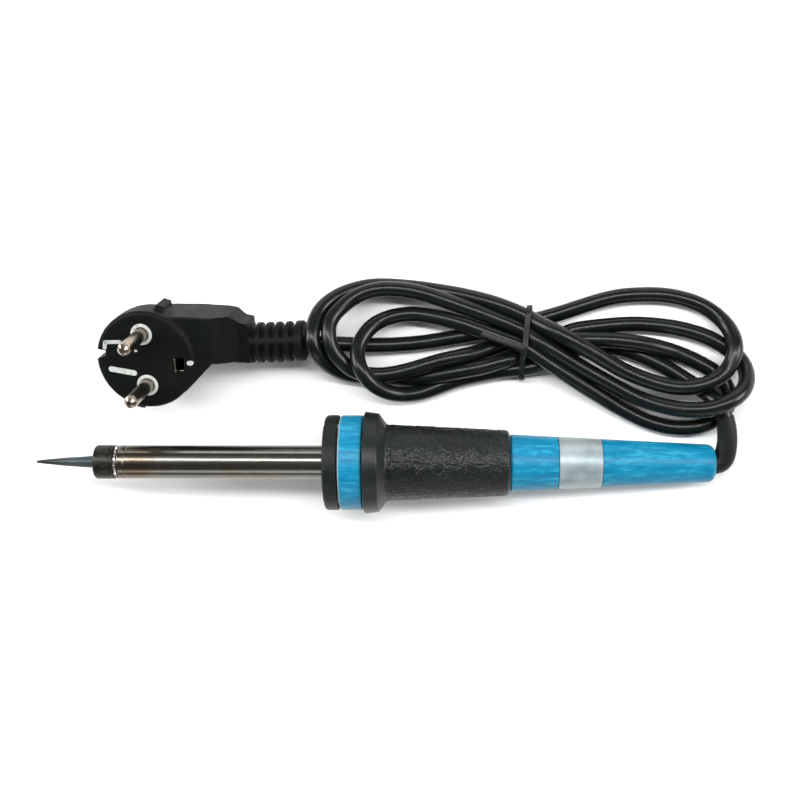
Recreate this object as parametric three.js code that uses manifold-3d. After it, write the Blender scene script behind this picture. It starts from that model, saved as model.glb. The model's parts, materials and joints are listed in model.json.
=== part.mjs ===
// Mains soldering iron with a pencil bit, a blue two-part grip handle, a moulded earthed plug and a
// lead folded into a hank. Millimetres, +Z up, the iron lies along X on its flange and its rear end.
import * as THREE from "three";
import { mergeVertices } from "three/addons/utils/BufferGeometryUtils.js";
import Module from "manifold-3d";

const wasm = await Module();
wasm.setup();

// ---- driving dimensions, mm. Stations are distances from the bit's point along the iron's axis ----
const GAP = 0.3; // between pieces that touch
const FIT = 0.3; // radial clearance of a piece in its hole

const TIP_CONE_LENGTH = 21.3;
const TIP_POINT_DIA = 1.0;
const TIP_SHANK_DIA = 4.4;
const TIP_SHANK_LENGTH = 51;

const COLLAR_FRONT = 21.8;
const COLLAR_LENGTH = 7.2;
const COLLAR_DIA = 12.1;
const COLLAR_EDGE = 1.0; // rounding of the front edge
const COLLAR_SPIGOT_LENGTH = 6.4; // threaded part that enters the barrel, from the collar's rear face
const WASHER_THICKNESS = 0.8;

const BARREL_DIA = 12.0;
const BARREL_WALL = 0.7;
const BARREL_REACH = 73.7; // barrel's bare length, from its front end to the cap's face
const BARREL_FLANGE_DIA = 16.4;
const BARREL_FLANGE_THICKNESS = 0.8;

const CORE_WALL = 0.7; // heater core tube
const CORE_LENGTH = 60;
const WINDING_WALL = 0.8;
const WINDING_LENGTH = 44;
const WINDING_RIDGES = 11;
const MICA_WALL = 0.5;
const MICA_LENGTH = 54;
const BUSH_LENGTH = 8;
const BUSH_BORE = 6.2;

const CAP_DIA = 33.6;
const CAP_LENGTH = 4.9;
const CAP_FRONT_WALL = 2.2;
const CAP_EDGE = 2.3;
const CAP_SKIRT = 1.4;
const CAP_BOSS_DIA = 14.6;
const CAP_BOSS_HEIGHT = 1.0;
const CAP_GROOVE = 0.5; // open groove between cap and handle
const PLATE_THICKNESS = 1.0;
const GASKET_THICKNESS = 1.0;
const SCREW_CIRCLE = 28.2;
const SCREW_DIA = 2.5;
const SCREW_HEAD_DIA = 4.6;
const SCREW_HEAD_HEIGHT = 1.2;
const SCREW_LENGTH = 9.5;
const SCREW_COUNT = 3;

const HEAD_STEP = 0.1; // how far the blue ring is set in from the cap's rim
const HEAD_DIA = CAP_DIA - 2 * HEAD_STEP; // blue ring at the handle's front
const HEAD_LENGTH = 8.1;
const HEAD_BORE = 23.4;
const HANDLE_LENGTH = 130.5; // whole handle moulding, from the groove to the rear end
const HANDLE_FRONT_DIA = 25.2; // taper's size where it leaves the head
const HANDLE_REAR_DIA = 13.2;
const HANDLE_WALL = 2.2;
const HANDLE_END_RADIUS = 2.5;
const HANDLE_END_WALL = 3.4;

const SLEEVE_LENGTH = 51.0;
const SLEEVE_RECESS = 0.8; // how far the handle is set back under the sleeve
const FLANGE_DIA = 36.0;
const FLANGE_REAR_DIA = 35.0;
const FLANGE_LENGTH = 5.1;
const SLEEVE_CONE_LENGTH = 2.8;
const SLEEVE_FRONT_DIA = 26.8;
const SLEEVE_REAR_DIA = 23.0;
const SLEEVE_LIP = 0.8;

const LABEL_START = 76.0; // from the handle's front
const LABEL_LENGTH = 15.4;
const LABEL_THICKNESS = 0.3;
const LABEL_RECESS = 0.5;

const TAIL_DIA = 0.7; // heater tails, nickel wire
const CONDUCTOR_DIA = 1.9; // insulated cores of the lead
const CRIMP_LENGTH = 9;
const CRIMP_WALL = 0.5;
const JACKET_START = 30; // how far the jacket reaches into the handle from its rear end
const FERRULE_LENGTH = 6;
const FERRULE_WALL = 0.7;

const CORD_DIA = 5.6;
const BOOT_FRONT_DIA = 7.6;
const BOOT_REAR_DIA = 6.4;
const BOOT_FLANGE_DIA = 8.6;
const BOOT_FLANGE_LENGTH = 2.4;
// Boot's centre line after it leaves the handle, from the centre of the handle's rear end.
const BOOT_ROUTE = [
  [0, 0, 0], [2.1, 0.6, 0.2], [3.4, 2.5, 0.7], [4.0, 5.6, 1.5], [4.1, 9.2, 2.2],
  [3.7, 12.9, 2.8], [2.9, 16.4, 3.3],
];

const HANK_HEIGHT = 13.3;
const TIE_WIDTH = 2;
const TIE_THICKNESS = 0.9;
const TIE_CORNER = 3;
const TIE_SIDES = [32.6, 54]; // the strands' nearest and farthest edges at the tie
const TIE_LEVELS = [1.4, 12.7];
const TIE_PLACE = [53.5, 39]; // where the tail starts
const TIE_TAIL = [15, 2.4]; // length and width
const TIE_TAIL_YAW = -24; // degrees

const PIN_DIA = 4.8;
const PIN_LENGTH = 19;
const PIN_SPACING = 19;
const PIN_ROOT = 9; // length held in the plug
const PLUG_DIA = 36.0;
const PLUG_DEPTH = 22.5;
const PLUG_ROLL = 20; // degrees, how the plug lies on its rounded back
const PLUG_CENTRE = [-80.7, 36.2]; // middle of the pins' face over the table
const RELIEF_DIA = 14.4;
const RELIEF_START = 30;
const RELIEF_END = 56.2;
const RELIEF_RIBS = 5;
const RELIEF_AXIS = [1.8, 15]; // sideways and down from the middle of the pins' face
const EARTH_HOLE_DIA = 5.2;
const EARTH_HOLE_PLACE = [12.2, -1.6];
const EARTH_HOLE_DEPTH = 14;
const BRIDGE_RING_DIA = 7.4;
const BRIDGE_DEPTH = 7;
const BRIDGE_BEAM = [6, 23, 3];
const BRIDGE_RIB = [10, 2.4]; // length and width of the two ribs that show at the face
const BRIDGE_RIB_SPOTS = [[-7, -2.6], [-7, 4.4]];
const CLIP_WIDTH = 5;
const CLIP_THICKNESS = 0.8;
const CLIP_HEIGHT = 6;
const CLIP_SLOT = [3.2, 5.6, 8]; // its middle is 3 mm behind the face
const NECK_DEPTH = 12;
const NECK_FLOOR = -19.6;

// ---- stations that follow from them ----
const collarRear = COLLAR_FRONT + COLLAR_LENGTH;
const spigotRear = collarRear + COLLAR_SPIGOT_LENGTH;
const barrelFront = collarRear + GAP + WASHER_THICKNESS + GAP;
const capFront = barrelFront + BARREL_REACH;
const capRear = capFront + CAP_LENGTH;
const plateFront = capFront + CAP_FRONT_WALL + GAP;
const plateRear = plateFront + PLATE_THICKNESS;
const barrelRear = plateRear + GAP + BARREL_FLANGE_THICKNESS;
const handleFront = capRear + CAP_GROOVE;
const headRear = handleFront + HEAD_LENGTH;
const sleeveFront = headRear + GAP;
const sleeveRear = sleeveFront + SLEEVE_LENGTH;
const handleRear = handleFront + HANDLE_LENGTH;
const taperRear = handleRear - HANDLE_END_RADIUS;
const labelFront = handleFront + LABEL_START;
const barrelBore = BARREL_DIA / 2 - BARREL_WALL;
const shankHole = TIP_SHANK_DIA / 2 + FIT;
const coreFront = spigotRear + 1;
const coreOuter = shankHole + CORE_WALL;
const windingOuter = coreOuter + FIT + WINDING_WALL;
const micaInner = windingOuter + FIT;
const tipRear = TIP_CONE_LENGTH + TIP_SHANK_LENGTH;

// Radius of the handle's straight taper at a station.
function taperRadius(station) {
  const share = (station - headRear) / (taperRear - headRear);
  return THREE.MathUtils.lerp(HANDLE_FRONT_DIA, HANDLE_REAR_DIA, share) / 2;
}

// ---- helpers ----
const degrees = THREE.MathUtils.degToRad;

// Points of a quarter round from angle to angle around a centre, in the profile's plane.
function roundCorner(radius, station, size, from, to, steps = 3) {
  const points = [];
  for (let i = 0; i <= steps; i++) {
    const angle = degrees(THREE.MathUtils.lerp(from, to, i / steps));
    points.push([radius + size * Math.cos(angle), station + size * Math.sin(angle)]);
  }
  return points;
}

// A turned piece along +X from a profile of [radius, station] pairs that runs anticlockwise.
function turned(profile, sides = 32) {
  const points = profile.map(([radius, station]) => new THREE.Vector2(radius, station));
  return new THREE.LatheGeometry(points, sides).rotateZ(-Math.PI / 2);
}

// A turned ring or tube with a plain rectangular section.
function ring(inner, outer, front, rear, sides = 32) {
  return turned([[inner, front], [outer, front], [outer, rear], [inner, rear], [inner, front]], sides);
}

// A round rod along +X.
function rod(radius, front, rear, sides = 12) {
  return turned([[0, front], [radius, front], [radius, rear], [0, rear]], sides);
}

function block(sizeX, sizeY, sizeZ, x, y, z) {
  return new THREE.BoxGeometry(sizeX, sizeY, sizeZ).translate(x, y, z);
}

// A smooth curve through the given points.
function through(points) {
  const places = points.map((point) => new THREE.Vector3(...point));
  return new THREE.CatmullRomCurve3(places, false, "centripetal");
}

// A smooth wire or tube of round section through the given points.
function wire(points, diameter, sides, steps) {
  const section = new THREE.Shape();
  for (let i = 0; i < sides; i++) {
    const angle = (2 * Math.PI * i) / sides;
    const spot = [(diameter / 2) * Math.cos(angle), (diameter / 2) * Math.sin(angle)];
    if (i === 0) section.moveTo(...spot);
    else section.lineTo(...spot);
  }
  section.closePath();
  return new THREE.ExtrudeGeometry(section, { steps, bevelEnabled: false, extrudePath: through(points) });
}

// Bends a piece made along +X so that its axis from x = 0 on follows a curve.
function bendAlong(geometry, curve) {
  const length = curve.getLength();
  const place = geometry.attributes.position;
  const spot = new THREE.Vector3();
  const up = new THREE.Vector3();
  const side = new THREE.Vector3();
  for (let i = 0; i < place.count; i++) {
    spot.fromBufferAttribute(place, i);
    if (spot.x <= 0) continue;
    const share = Math.min(spot.x / length, 1);
    const ahead = curve.getTangentAt(share);
    side.set(0, 0, 1).cross(ahead).normalize();
    up.copy(ahead).cross(side);
    const centre = curve.getPointAt(share);
    centre.addScaledVector(side, spot.y).addScaledVector(up, spot.z);
    place.setXYZ(i, centre.x, centre.y, centre.z);
  }
  return geometry;
}

// A manifold solid from a closed geometry.
function solid(geometry) {
  const bare = geometry.clone();
  bare.deleteAttribute("normal");
  bare.deleteAttribute("uv");
  const merged = mergeVertices(bare, 1e-4);
  const corners = merged.index.array;
  const kept = [];
  for (let i = 0; i < corners.length; i += 3) {
    const [a, b, c] = [corners[i], corners[i + 1], corners[i + 2]];
    if (a !== b && b !== c && c !== a) kept.push(a, b, c);
  }
  const vertProperties = new Float32Array(merged.attributes.position.array);
  const triVerts = new Uint32Array(kept);
  return new wasm.Manifold(new wasm.Mesh({ numProp: 3, vertProperties, triVerts }));
}

function surface(manifold) {
  const mesh = manifold.getMesh();
  const geometry = new THREE.BufferGeometry();
  geometry.setAttribute("position", new THREE.BufferAttribute(new Float32Array(mesh.vertProperties), 3));
  geometry.setIndex(new THREE.BufferAttribute(new Uint32Array(mesh.triVerts), 1));
  geometry.computeVertexNormals();
  return geometry;
}

function cut(geometry, ...tools) {
  return surface(tools.reduce((rest, tool) => rest.subtract(solid(tool)), solid(geometry)));
}

function join(...geometries) {
  const [first, ...others] = geometries.map(solid);
  return surface(others.reduce((whole, next) => whole.add(next), first));
}

const FINISHES = {
  bit: [0x64696a, 0.45, 0.9],
  darkSteel: [0x2a2a27, 0.5, 0.8],
  steel: [0xc4c4c0, 0.25, 1],
  blackPlastic: [0x1b1f1d, 0.55, 0],
  bluePlastic: [0x1c9cc4, 0.4, 0],
  rubber: [0x15191a, 0.75, 0],
  foil: [0xc9cac8, 0.35, 0.8],
  ceramic: [0xe6e0d2, 0.6, 0],
  mica: [0xb59a6a, 0.5, 0],
  brass: [0xb08d3e, 0.35, 1],
  brownInsulation: [0x6a4326, 0.5, 0],
  blueInsulation: [0x2a5fa8, 0.5, 0],
  earthInsulation: [0x6f9c2f, 0.5, 0],
  cordJacket: [0x121615, 0.4, 0],
  greyPlastic: [0xb9bdb8, 0.5, 0],
  nickel: [0x9c978c, 0.25, 1],
};

function piece(name, geometry, finish) {
  const [color, roughness, metalness] = FINISHES[finish];
  const mesh = new THREE.Mesh(geometry, new THREE.MeshStandardMaterial({ color, roughness, metalness }));
  mesh.name = name;
  return mesh;
}

// ---- the iron, along its own axis: x is the station ----
const iron = new THREE.Group();

// Bit: plated copper pencil point with a plain shank.
const pointRadius = TIP_POINT_DIA / 2;
const shankRadius = TIP_SHANK_DIA / 2;
iron.add(piece("tip", turned([
  [0, 0], ...roundCorner(0, pointRadius, pointRadius, -60, -8, 2), [shankRadius, TIP_CONE_LENGTH],
  [shankRadius, tipRear - 0.6], [shankRadius - 0.6, tipRear], [0, tipRear],
], 20), "bit"));

// Retaining collar: its threaded spigot screws into the barrel and grips the bit's shank.
const collarRadius = COLLAR_DIA / 2;
const spigotRadius = barrelBore - FIT;
iron.add(piece("tip_collar", turned([
  [shankHole, COLLAR_FRONT],
  ...roundCorner(collarRadius - COLLAR_EDGE, COLLAR_FRONT + COLLAR_EDGE, COLLAR_EDGE, -90, 0),
  [collarRadius, collarRear - 0.3], [collarRadius - 0.3, collarRear],
  [spigotRadius, collarRear], [spigotRadius, spigotRear - 0.5], [spigotRadius - 0.5, spigotRear],
  [shankHole, spigotRear], [shankHole, COLLAR_FRONT],
], 24), "darkSteel"));

// Bright spacer ring between the collar and the barrel.
const washerFront = collarRear + GAP;
iron.add(piece("collar_washer",
  ring(spigotRadius + FIT, BARREL_DIA / 2, washerFront, washerFront + WASHER_THICKNESS, 24), "steel"));

// Barrel: drawn steel tube, turned out at its rear end into a flange that the plate holds.
iron.add(piece("barrel", turned([
  [barrelBore, barrelFront], [BARREL_DIA / 2, barrelFront], [BARREL_DIA / 2, plateRear + GAP],
  [BARREL_FLANGE_DIA / 2, plateRear + GAP], [BARREL_FLANGE_DIA / 2, barrelRear],
  [barrelBore, barrelRear], [barrelBore, barrelFront],
]), "steel"));

// Heater inside the barrel: core tube, resistance winding, mica sleeve and ceramic bush.
const coreRear = coreFront + CORE_LENGTH;
iron.add(piece("heater_core", ring(shankHole, coreOuter, coreFront, coreRear, 16), "steel"));

const windingFront = coreFront + (CORE_LENGTH - WINDING_LENGTH) / 2;
const windingPitch = WINDING_LENGTH / WINDING_RIDGES;
const windingProfile = [[coreOuter + FIT, windingFront]];
for (let i = 0; i < WINDING_RIDGES; i++) {
  windingProfile.push([windingOuter - 0.3, windingFront + i * windingPitch]);
  windingProfile.push([windingOuter, windingFront + (i + 0.5) * windingPitch]);
}
windingProfile.push([windingOuter - 0.3, windingFront + WINDING_LENGTH]);
windingProfile.push([coreOuter + FIT, windingFront + WINDING_LENGTH], [coreOuter + FIT, windingFront]);
iron.add(piece("heater_winding", turned(windingProfile, 16), "nickel"));

const micaFront = coreFront + (CORE_LENGTH - MICA_LENGTH) / 2;
iron.add(piece("mica_sleeve",
  ring(micaInner, micaInner + MICA_WALL, micaFront, micaFront + MICA_LENGTH, 16), "mica"));

const bushRear = barrelRear - 1;
iron.add(piece("ceramic_bush",
  ring(BUSH_BORE / 2, barrelBore - FIT, bushRear - BUSH_LENGTH, bushRear, 16), "ceramic"));

// Front cap: heat-resistant moulding with a low boss around the barrel and a pocket behind.
const capRadius = CAP_DIA / 2;
const barrelHole = BARREL_DIA / 2 + FIT;
const capPocket = capRadius - CAP_SKIRT;
const capShell = turned([
  [barrelHole, capFront - CAP_BOSS_HEIGHT], [barrelHole + 0.8, capFront - CAP_BOSS_HEIGHT],
  [CAP_BOSS_DIA / 2, capFront],
  ...roundCorner(capRadius - CAP_EDGE, capFront + CAP_EDGE, CAP_EDGE, -90, 0),
  [capRadius, capRear], [capPocket, capRear], [capPocket, capFront + CAP_FRONT_WALL],
  [barrelHole, capFront + CAP_FRONT_WALL], [barrelHole, capFront - CAP_BOSS_HEIGHT],
]);
const screwAngles = Array.from({ length: SCREW_COUNT }, (_, i) => -90 + (i * 360) / SCREW_COUNT);
const screwSpots = screwAngles.map((angle) => [
  (SCREW_CIRCLE / 2) * Math.cos(degrees(angle)), (SCREW_CIRCLE / 2) * Math.sin(degrees(angle)),
]);

// Rods at the three screw places, to cut their holes.
function screwHoles(radius, front, rear) {
  return screwSpots.map(([y, z]) => rod(radius, front, rear, 12).translate(0, y, z));
}

const headSeat = capFront + 0.2 + SCREW_HEAD_HEIGHT + GAP; // bottom of the counterbores
const headRearFace = headSeat - GAP;
const headFrontFace = headRearFace - SCREW_HEAD_HEIGHT;
const screwRear = headRearFace + SCREW_LENGTH;
iron.add(piece("front_cap", cut(capShell,
  ...screwHoles(SCREW_DIA / 2 + FIT, capFront - 1, capRear),
  ...screwHoles(SCREW_HEAD_DIA / 2 + FIT, capFront - 1, headSeat)), "blackPlastic"));

// Steel mounting plate and fibre gasket, stacked in the cap's pocket behind the front wall.
const screwHoleRadius = SCREW_DIA / 2 + FIT;
const stackRadius = capPocket - FIT;
iron.add(piece("mount_plate", cut(ring(barrelHole, stackRadius, plateFront, plateRear, 24),
  ...screwHoles(screwHoleRadius, plateFront - 1, plateRear + 1)), "steel"));

const gasketFront = plateRear + GAP;
const gasketRear = gasketFront + GASKET_THICKNESS;
iron.add(piece("heat_gasket", cut(
  ring(BARREL_FLANGE_DIA / 2 + FIT, stackRadius, gasketFront, gasketRear, 24),
  ...screwHoles(screwHoleRadius, gasketFront - 1, gasketRear + 1)), "mica"));

// Three cap screws with slotted heads.
screwSpots.forEach(([y, z], i) => {
  const blank = turned([
    [0, headFrontFace], [SCREW_HEAD_DIA / 2, headFrontFace], [SCREW_HEAD_DIA / 2, headRearFace],
    [SCREW_DIA / 2, headRearFace], [SCREW_DIA / 2, screwRear - 0.8], [0, screwRear],
  ], 12);
  const slot = block(1.4, SCREW_HEAD_DIA + 1, 0.8, headFrontFace, 0, 0);
  const screw = piece(`cap_screw_${i + 1}`, cut(blank, slot), "steel");
  screw.position.set(0, y, z);
  iron.add(screw);
});

// Handle: one blue moulding. Its head shows as a ring, its waist carries the sleeve, its rear tapers.
const coreAt = (station) => taperRadius(station) - SLEEVE_RECESS;
const headRadius = HEAD_DIA / 2;
const headInner = HEAD_BORE / 2;
const labelRear = labelFront + LABEL_LENGTH;
const endWallFront = handleRear - HANDLE_END_WALL;
const endHole = BOOT_FRONT_DIA / 2 + FIT;
const handleShell = turned([
  [headInner, handleFront], [headRadius - 0.4, handleFront], [headRadius, handleFront + 0.4],
  [headRadius, headRear], [coreAt(headRear), headRear], [coreAt(sleeveRear), sleeveRear + GAP],
  [taperRadius(sleeveRear) - 0.2, sleeveRear + GAP], [taperRadius(sleeveRear), sleeveRear + GAP + 0.2],
  [taperRadius(labelFront), labelFront], [taperRadius(labelFront) - LABEL_RECESS, labelFront],
  [taperRadius(labelRear) - LABEL_RECESS, labelRear], [taperRadius(labelRear), labelRear],
  ...roundCorner(HANDLE_REAR_DIA / 2 - HANDLE_END_RADIUS, taperRear, HANDLE_END_RADIUS, 0, 78, 3),
  [endHole, handleRear], [endHole, endWallFront], [taperRadius(endWallFront) - HANDLE_WALL, endWallFront],
  [coreAt(sleeveRear) - HANDLE_WALL, sleeveRear], [headInner - 2, headRear], [headInner, headRear - 2],
  [headInner, handleFront],
]);
iron.add(piece("handle_body",
  cut(handleShell, ...screwHoles(screwHoleRadius, handleFront - 1, screwRear + 0.5)), "bluePlastic"));

// Grip sleeve: soft rubber moulding with the wide finger flange at its front.
const flangeRear = sleeveFront + FLANGE_LENGTH;
const coneRear = flangeRear + SLEEVE_CONE_LENGTH;
iron.add(piece("grip_sleeve", turned([
  [coreAt(sleeveFront) + FIT, sleeveFront],
  [FLANGE_DIA / 2 - 0.3, sleeveFront], [FLANGE_DIA / 2, sleeveFront + 0.3],
  [FLANGE_REAR_DIA / 2, flangeRear], [SLEEVE_FRONT_DIA / 2, coneRear],
  ...roundCorner(SLEEVE_REAR_DIA / 2 - SLEEVE_LIP, sleeveRear - SLEEVE_LIP, SLEEVE_LIP, 0, 90),
  [coreAt(sleeveRear) + FIT, sleeveRear], [coreAt(sleeveFront) + FIT, sleeveFront],
]), "rubber"));

// Metallised label, wrapped around the handle in its shallow recess.
const labelInner = (station) => taperRadius(station) - LABEL_RECESS + FIT;
const labelEnds = [labelFront + GAP, labelRear - GAP];
iron.add(piece("rating_label", turned([
  [labelInner(labelEnds[0]), labelEnds[0]], [labelInner(labelEnds[0]) + LABEL_THICKNESS, labelEnds[0]],
  [labelInner(labelEnds[1]) + LABEL_THICKNESS, labelEnds[1]], [labelInner(labelEnds[1]), labelEnds[1]],
  [labelInner(labelEnds[0]), labelEnds[0]],
]), "foil"));

// Wiring inside the handle: heater tails, crimps, cores of the lead, earth tag.
const tailRadius = (coreOuter + micaInner) / 2 + 0.05;
const tailStart = windingFront + WINDING_LENGTH + GAP;
const crimpFront = handleFront + 14;
const crimpRear = crimpFront + CRIMP_LENGTH;
const crimpSpread = 3.6;
const crimpBore = CONDUCTOR_DIA / 2 + FIT;
const jacketFront = handleRear - JACKET_START;
const conductorSpread = 1.5;
[["live", 1], ["neutral", -1]].forEach(([pole, sign]) => {
  iron.add(piece(`heater_tail_${pole}`, wire([
    [tailStart, sign * tailRadius, 0], [coreRear - 1, sign * tailRadius, 0],
    [bushRear - BUSH_LENGTH - 1, sign * 1.9, 0], [bushRear, sign * 1.9, 0],
    [crimpFront - 3, sign * crimpSpread, 0], [crimpFront + CRIMP_LENGTH / 2 - 1, sign * crimpSpread, 0],
  ], TAIL_DIA, 6, 16), "nickel"));
  const crimp = piece(`crimp_${pole}`,
    ring(crimpBore, crimpBore + CRIMP_WALL, crimpFront, crimpRear, 10), "brass");
  crimp.position.y = sign * crimpSpread;
  iron.add(crimp);
  iron.add(piece(`core_${pole}`, wire([
    [crimpRear - CRIMP_LENGTH / 2 + 1, sign * crimpSpread, 0], [crimpRear + 3, sign * crimpSpread, 0],
    [jacketFront - 14, sign * conductorSpread, 0], [jacketFront - GAP, sign * conductorSpread, 0],
  ], CONDUCTOR_DIA, 8, 14), sign > 0 ? "brownInsulation" : "blueInsulation"));
});

const tagFront = barrelRear + GAP;
const tagLength = 7;
const tagHeight = barrelBore + 1.2;
iron.add(piece("earth_tag", block(tagLength, 3.6, 0.8, tagFront + tagLength / 2, 0, tagHeight), "brass"));
iron.add(piece("core_earth", wire([
  [tagFront + tagLength + GAP, 0, tagHeight], [tagFront + tagLength + 6, 0, tagHeight],
  [crimpRear + 10, 0, 4.5], [jacketFront - 14, 0, 2.1], [jacketFront - GAP, 0, 1.4],
], CONDUCTOR_DIA, 8, 14), "earthInsulation"));

const ferruleRear = endWallFront - BOOT_FLANGE_LENGTH - 2 * GAP;
iron.add(piece("cord_ferrule", ring(CORD_DIA / 2 + FIT, CORD_DIA / 2 + FIT + FERRULE_WALL,
  ferruleRear - FERRULE_LENGTH, ferruleRear, 12), "steel"));

// The iron lies on the flange's edge and the handle's rear edge, so its bit is raised. Its middle,
// without the lead, is over the origin.
const restingSpan = taperRear - sleeveFront - 0.3;
iron.rotation.y = Math.atan((FLANGE_DIA / 2 - HANDLE_REAR_DIA / 2) / restingSpan);
iron.updateMatrixWorld(true);
const ironBox = new THREE.Box3().setFromObject(iron, true);
iron.position.set(-(ironBox.min.x + ironBox.max.x) / 2, 0, -ironBox.min.z);

// End of the lead's jacket, from inside the handle to the boot's end.
const bootCurve = through(BOOT_ROUTE);
const bootLength = bootCurve.getLength();
const bootSteps = 8;
const jacketProfile = [[0, -JACKET_START], [CORD_DIA / 2, -JACKET_START]];
for (let i = 0; i <= bootSteps; i++) jacketProfile.push([CORD_DIA / 2, (bootLength * i) / bootSteps]);
jacketProfile.push([0, bootLength]);
const jacketEnd = piece("jacket_end", bendAlong(turned(jacketProfile, 12), bootCurve), "cordJacket");
jacketEnd.position.x = handleRear;
iron.add(jacketEnd);

// Strain-relief boot: rubber, held by its flange behind the end wall, tapering along the lead.
const bootFlangeFront = endWallFront - GAP - BOOT_FLANGE_LENGTH - handleRear;
const bootBore = CORD_DIA / 2 + FIT;
const bootProfile = [
  [bootBore, bootFlangeFront], [BOOT_FLANGE_DIA / 2, bootFlangeFront],
  [BOOT_FLANGE_DIA / 2, bootFlangeFront + BOOT_FLANGE_LENGTH],
  [BOOT_FRONT_DIA / 2, bootFlangeFront + BOOT_FLANGE_LENGTH],
];
for (let i = 0; i <= bootSteps; i++) {
  const radius = THREE.MathUtils.lerp(BOOT_FRONT_DIA, BOOT_REAR_DIA, i / bootSteps) / 2;
  bootProfile.push([radius, (bootLength * i) / bootSteps]);
}
for (let i = bootSteps; i >= 0; i--) bootProfile.push([bootBore, (bootLength * i) / bootSteps]);
bootProfile.push([bootBore, bootFlangeFront]);
const boot = piece("handle_boot", bendAlong(turned(bootProfile, 12), bootCurve), "rubber");
boot.position.x = handleRear;
iron.add(boot);

// ---- the plug, with the pins' face at z = 0 and the lead leaving along +X ----
const plug = new THREE.Group();
const plugRadius = PLUG_DIA / 2;
const pinSpots = [PIN_SPACING / 2, -PIN_SPACING / 2];
const standing = (geometry) => geometry.rotateY(-Math.PI / 2); // turns a piece made along +X to +Z

// Grey carrier behind the face: a ring around each pin and two flat ribs reach the surface.
function bridge(grow) {
  const grown = ([x, y, z], ...place) => block(x + 2 * grow, y + 2 * grow, z + 2 * grow, ...place);
  const rings = pinSpots.map((y) => (
    standing(rod(BRIDGE_RING_DIA / 2 + grow, -BRIDGE_DEPTH - grow, grow, 20)).translate(0, y, 0)));
  const beamDrop = BRIDGE_DEPTH - BRIDGE_BEAM[2] / 2;
  const beam = grown(BRIDGE_BEAM, 0, 0, -beamDrop);
  const ribs = BRIDGE_RIB_SPOTS.map(([x, y]) => (
    grown([...BRIDGE_RIB, BRIDGE_DEPTH], x, y, -BRIDGE_DEPTH / 2)));
  return join(...rings, beam, ...ribs);
}

const pinHoles = (grow, depth) => pinSpots.map((y) => (
  standing(rod(PIN_DIA / 2 + grow, -depth, 1, 20)).translate(0, y, 0)));

const headProfile = [
  [0, -PLUG_DEPTH], [6, -PLUG_DEPTH], [12.5, -PLUG_DEPTH + 2.4], [16.6, -PLUG_DEPTH + 6.4],
  [plugRadius, -PLUG_DEPTH + 11.5], [plugRadius, -0.8], [plugRadius - 0.8, 0], [0, 0],
];
const plugHead = standing(turned(headProfile, 36));

// Shoulders and neck: wide on one side, cut away on a slant on the other.
const neckOutline = new THREE.Shape([
  [0, 17], [24.5, 15.6], [28.5, 14.8], [32.4, 11], [RELIEF_START + 5, 9.4], [RELIEF_START + 5, -5.6],
  [23.4, -5.8], [14, -11.5], [4, -17.4],
].map(([x, y]) => new THREE.Vector2(x, y)).reverse());
const neck = new THREE.ExtrudeGeometry(neckOutline, {
  depth: NECK_DEPTH, bevelEnabled: true, bevelThickness: 1.6, bevelSize: 1.2, bevelOffset: -1.2,
  bevelSegments: 2,
}).translate(0, 0, NECK_FLOOR);

// Ribbed relief moulded in one with the plug.
const reliefRadius = RELIEF_DIA / 2;
const ribPitch = (RELIEF_END - RELIEF_START - 10) / RELIEF_RIBS;
const reliefProfile = [[0, RELIEF_START], [reliefRadius, RELIEF_START]];
for (let i = 0; i < RELIEF_RIBS; i++) {
  const start = RELIEF_START + 6 + i * ribPitch;
  reliefProfile.push([reliefRadius, start], [reliefRadius - 1.5, start]);
  reliefProfile.push([reliefRadius - 1.5, start + ribPitch / 2], [reliefRadius, start + ribPitch / 2]);
}
reliefProfile.push([reliefRadius, RELIEF_END], [0, RELIEF_END]);
const [reliefY, reliefDepth] = RELIEF_AXIS;
const relief = turned(reliefProfile, 16).translate(0, reliefY, -reliefDepth);

// The lead's contact clips sit in slots at both ends of the line across the pins.
const clipSlot = (x) => block(...CLIP_SLOT, x, 0, -3);
const clipX = plugRadius - 0.9;
const earthHole = standing(rod(EARTH_HOLE_DIA / 2, -EARTH_HOLE_DEPTH, 1, 12))
  .translate(...EARTH_HOLE_PLACE, 0);
const plugHollows = [
  bridge(GAP), ...pinHoles(GAP, PIN_ROOT + GAP), clipSlot(-clipX), clipSlot(clipX), earthHole,
];
plug.add(piece("plug_body", cut(join(plugHead, neck, relief), ...plugHollows), "blackPlastic"));
plug.add(piece("plug_bridge", cut(bridge(0), ...pinHoles(GAP, PIN_ROOT)), "greyPlastic"));

// Round pins with domed ends.
pinSpots.forEach((y, i) => {
  const radius = PIN_DIA / 2;
  const dome = roundCorner(0, PIN_LENGTH - radius, radius, 0, 80, 3);
  const pin = piece(`plug_pin_${i + 1}`,
    standing(turned([[0, -PIN_ROOT], [radius, -PIN_ROOT], ...dome, [0, PIN_LENGTH]], 16)), "nickel");
  pin.position.y = y;
  plug.add(pin);
});

// Earth contacts: a sprung strip in each side slot and a sleeve in the earth pin's hole.
[["left", -1], ["right", 1]].forEach(([side, sign]) => {
  const strip = block(CLIP_THICKNESS, CLIP_WIDTH, CLIP_HEIGHT, 0, 0, -GAP - CLIP_HEIGHT / 2);
  const clip = piece(`earth_clip_${side}`, strip, "nickel");
  clip.position.x = sign * (clipX - 0.3);
  plug.add(clip);
});
const socketOuter = EARTH_HOLE_DIA / 2 - FIT;
const earthSocket = piece("earth_socket",
  standing(ring(socketOuter - 0.4, socketOuter, -EARTH_HOLE_DEPTH + GAP, -1, 12)), "nickel");
earthSocket.position.set(...EARTH_HOLE_PLACE, 0);
plug.add(earthSocket);
plug.rotation.x = degrees(PLUG_ROLL);
plug.updateMatrixWorld(true);

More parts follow.
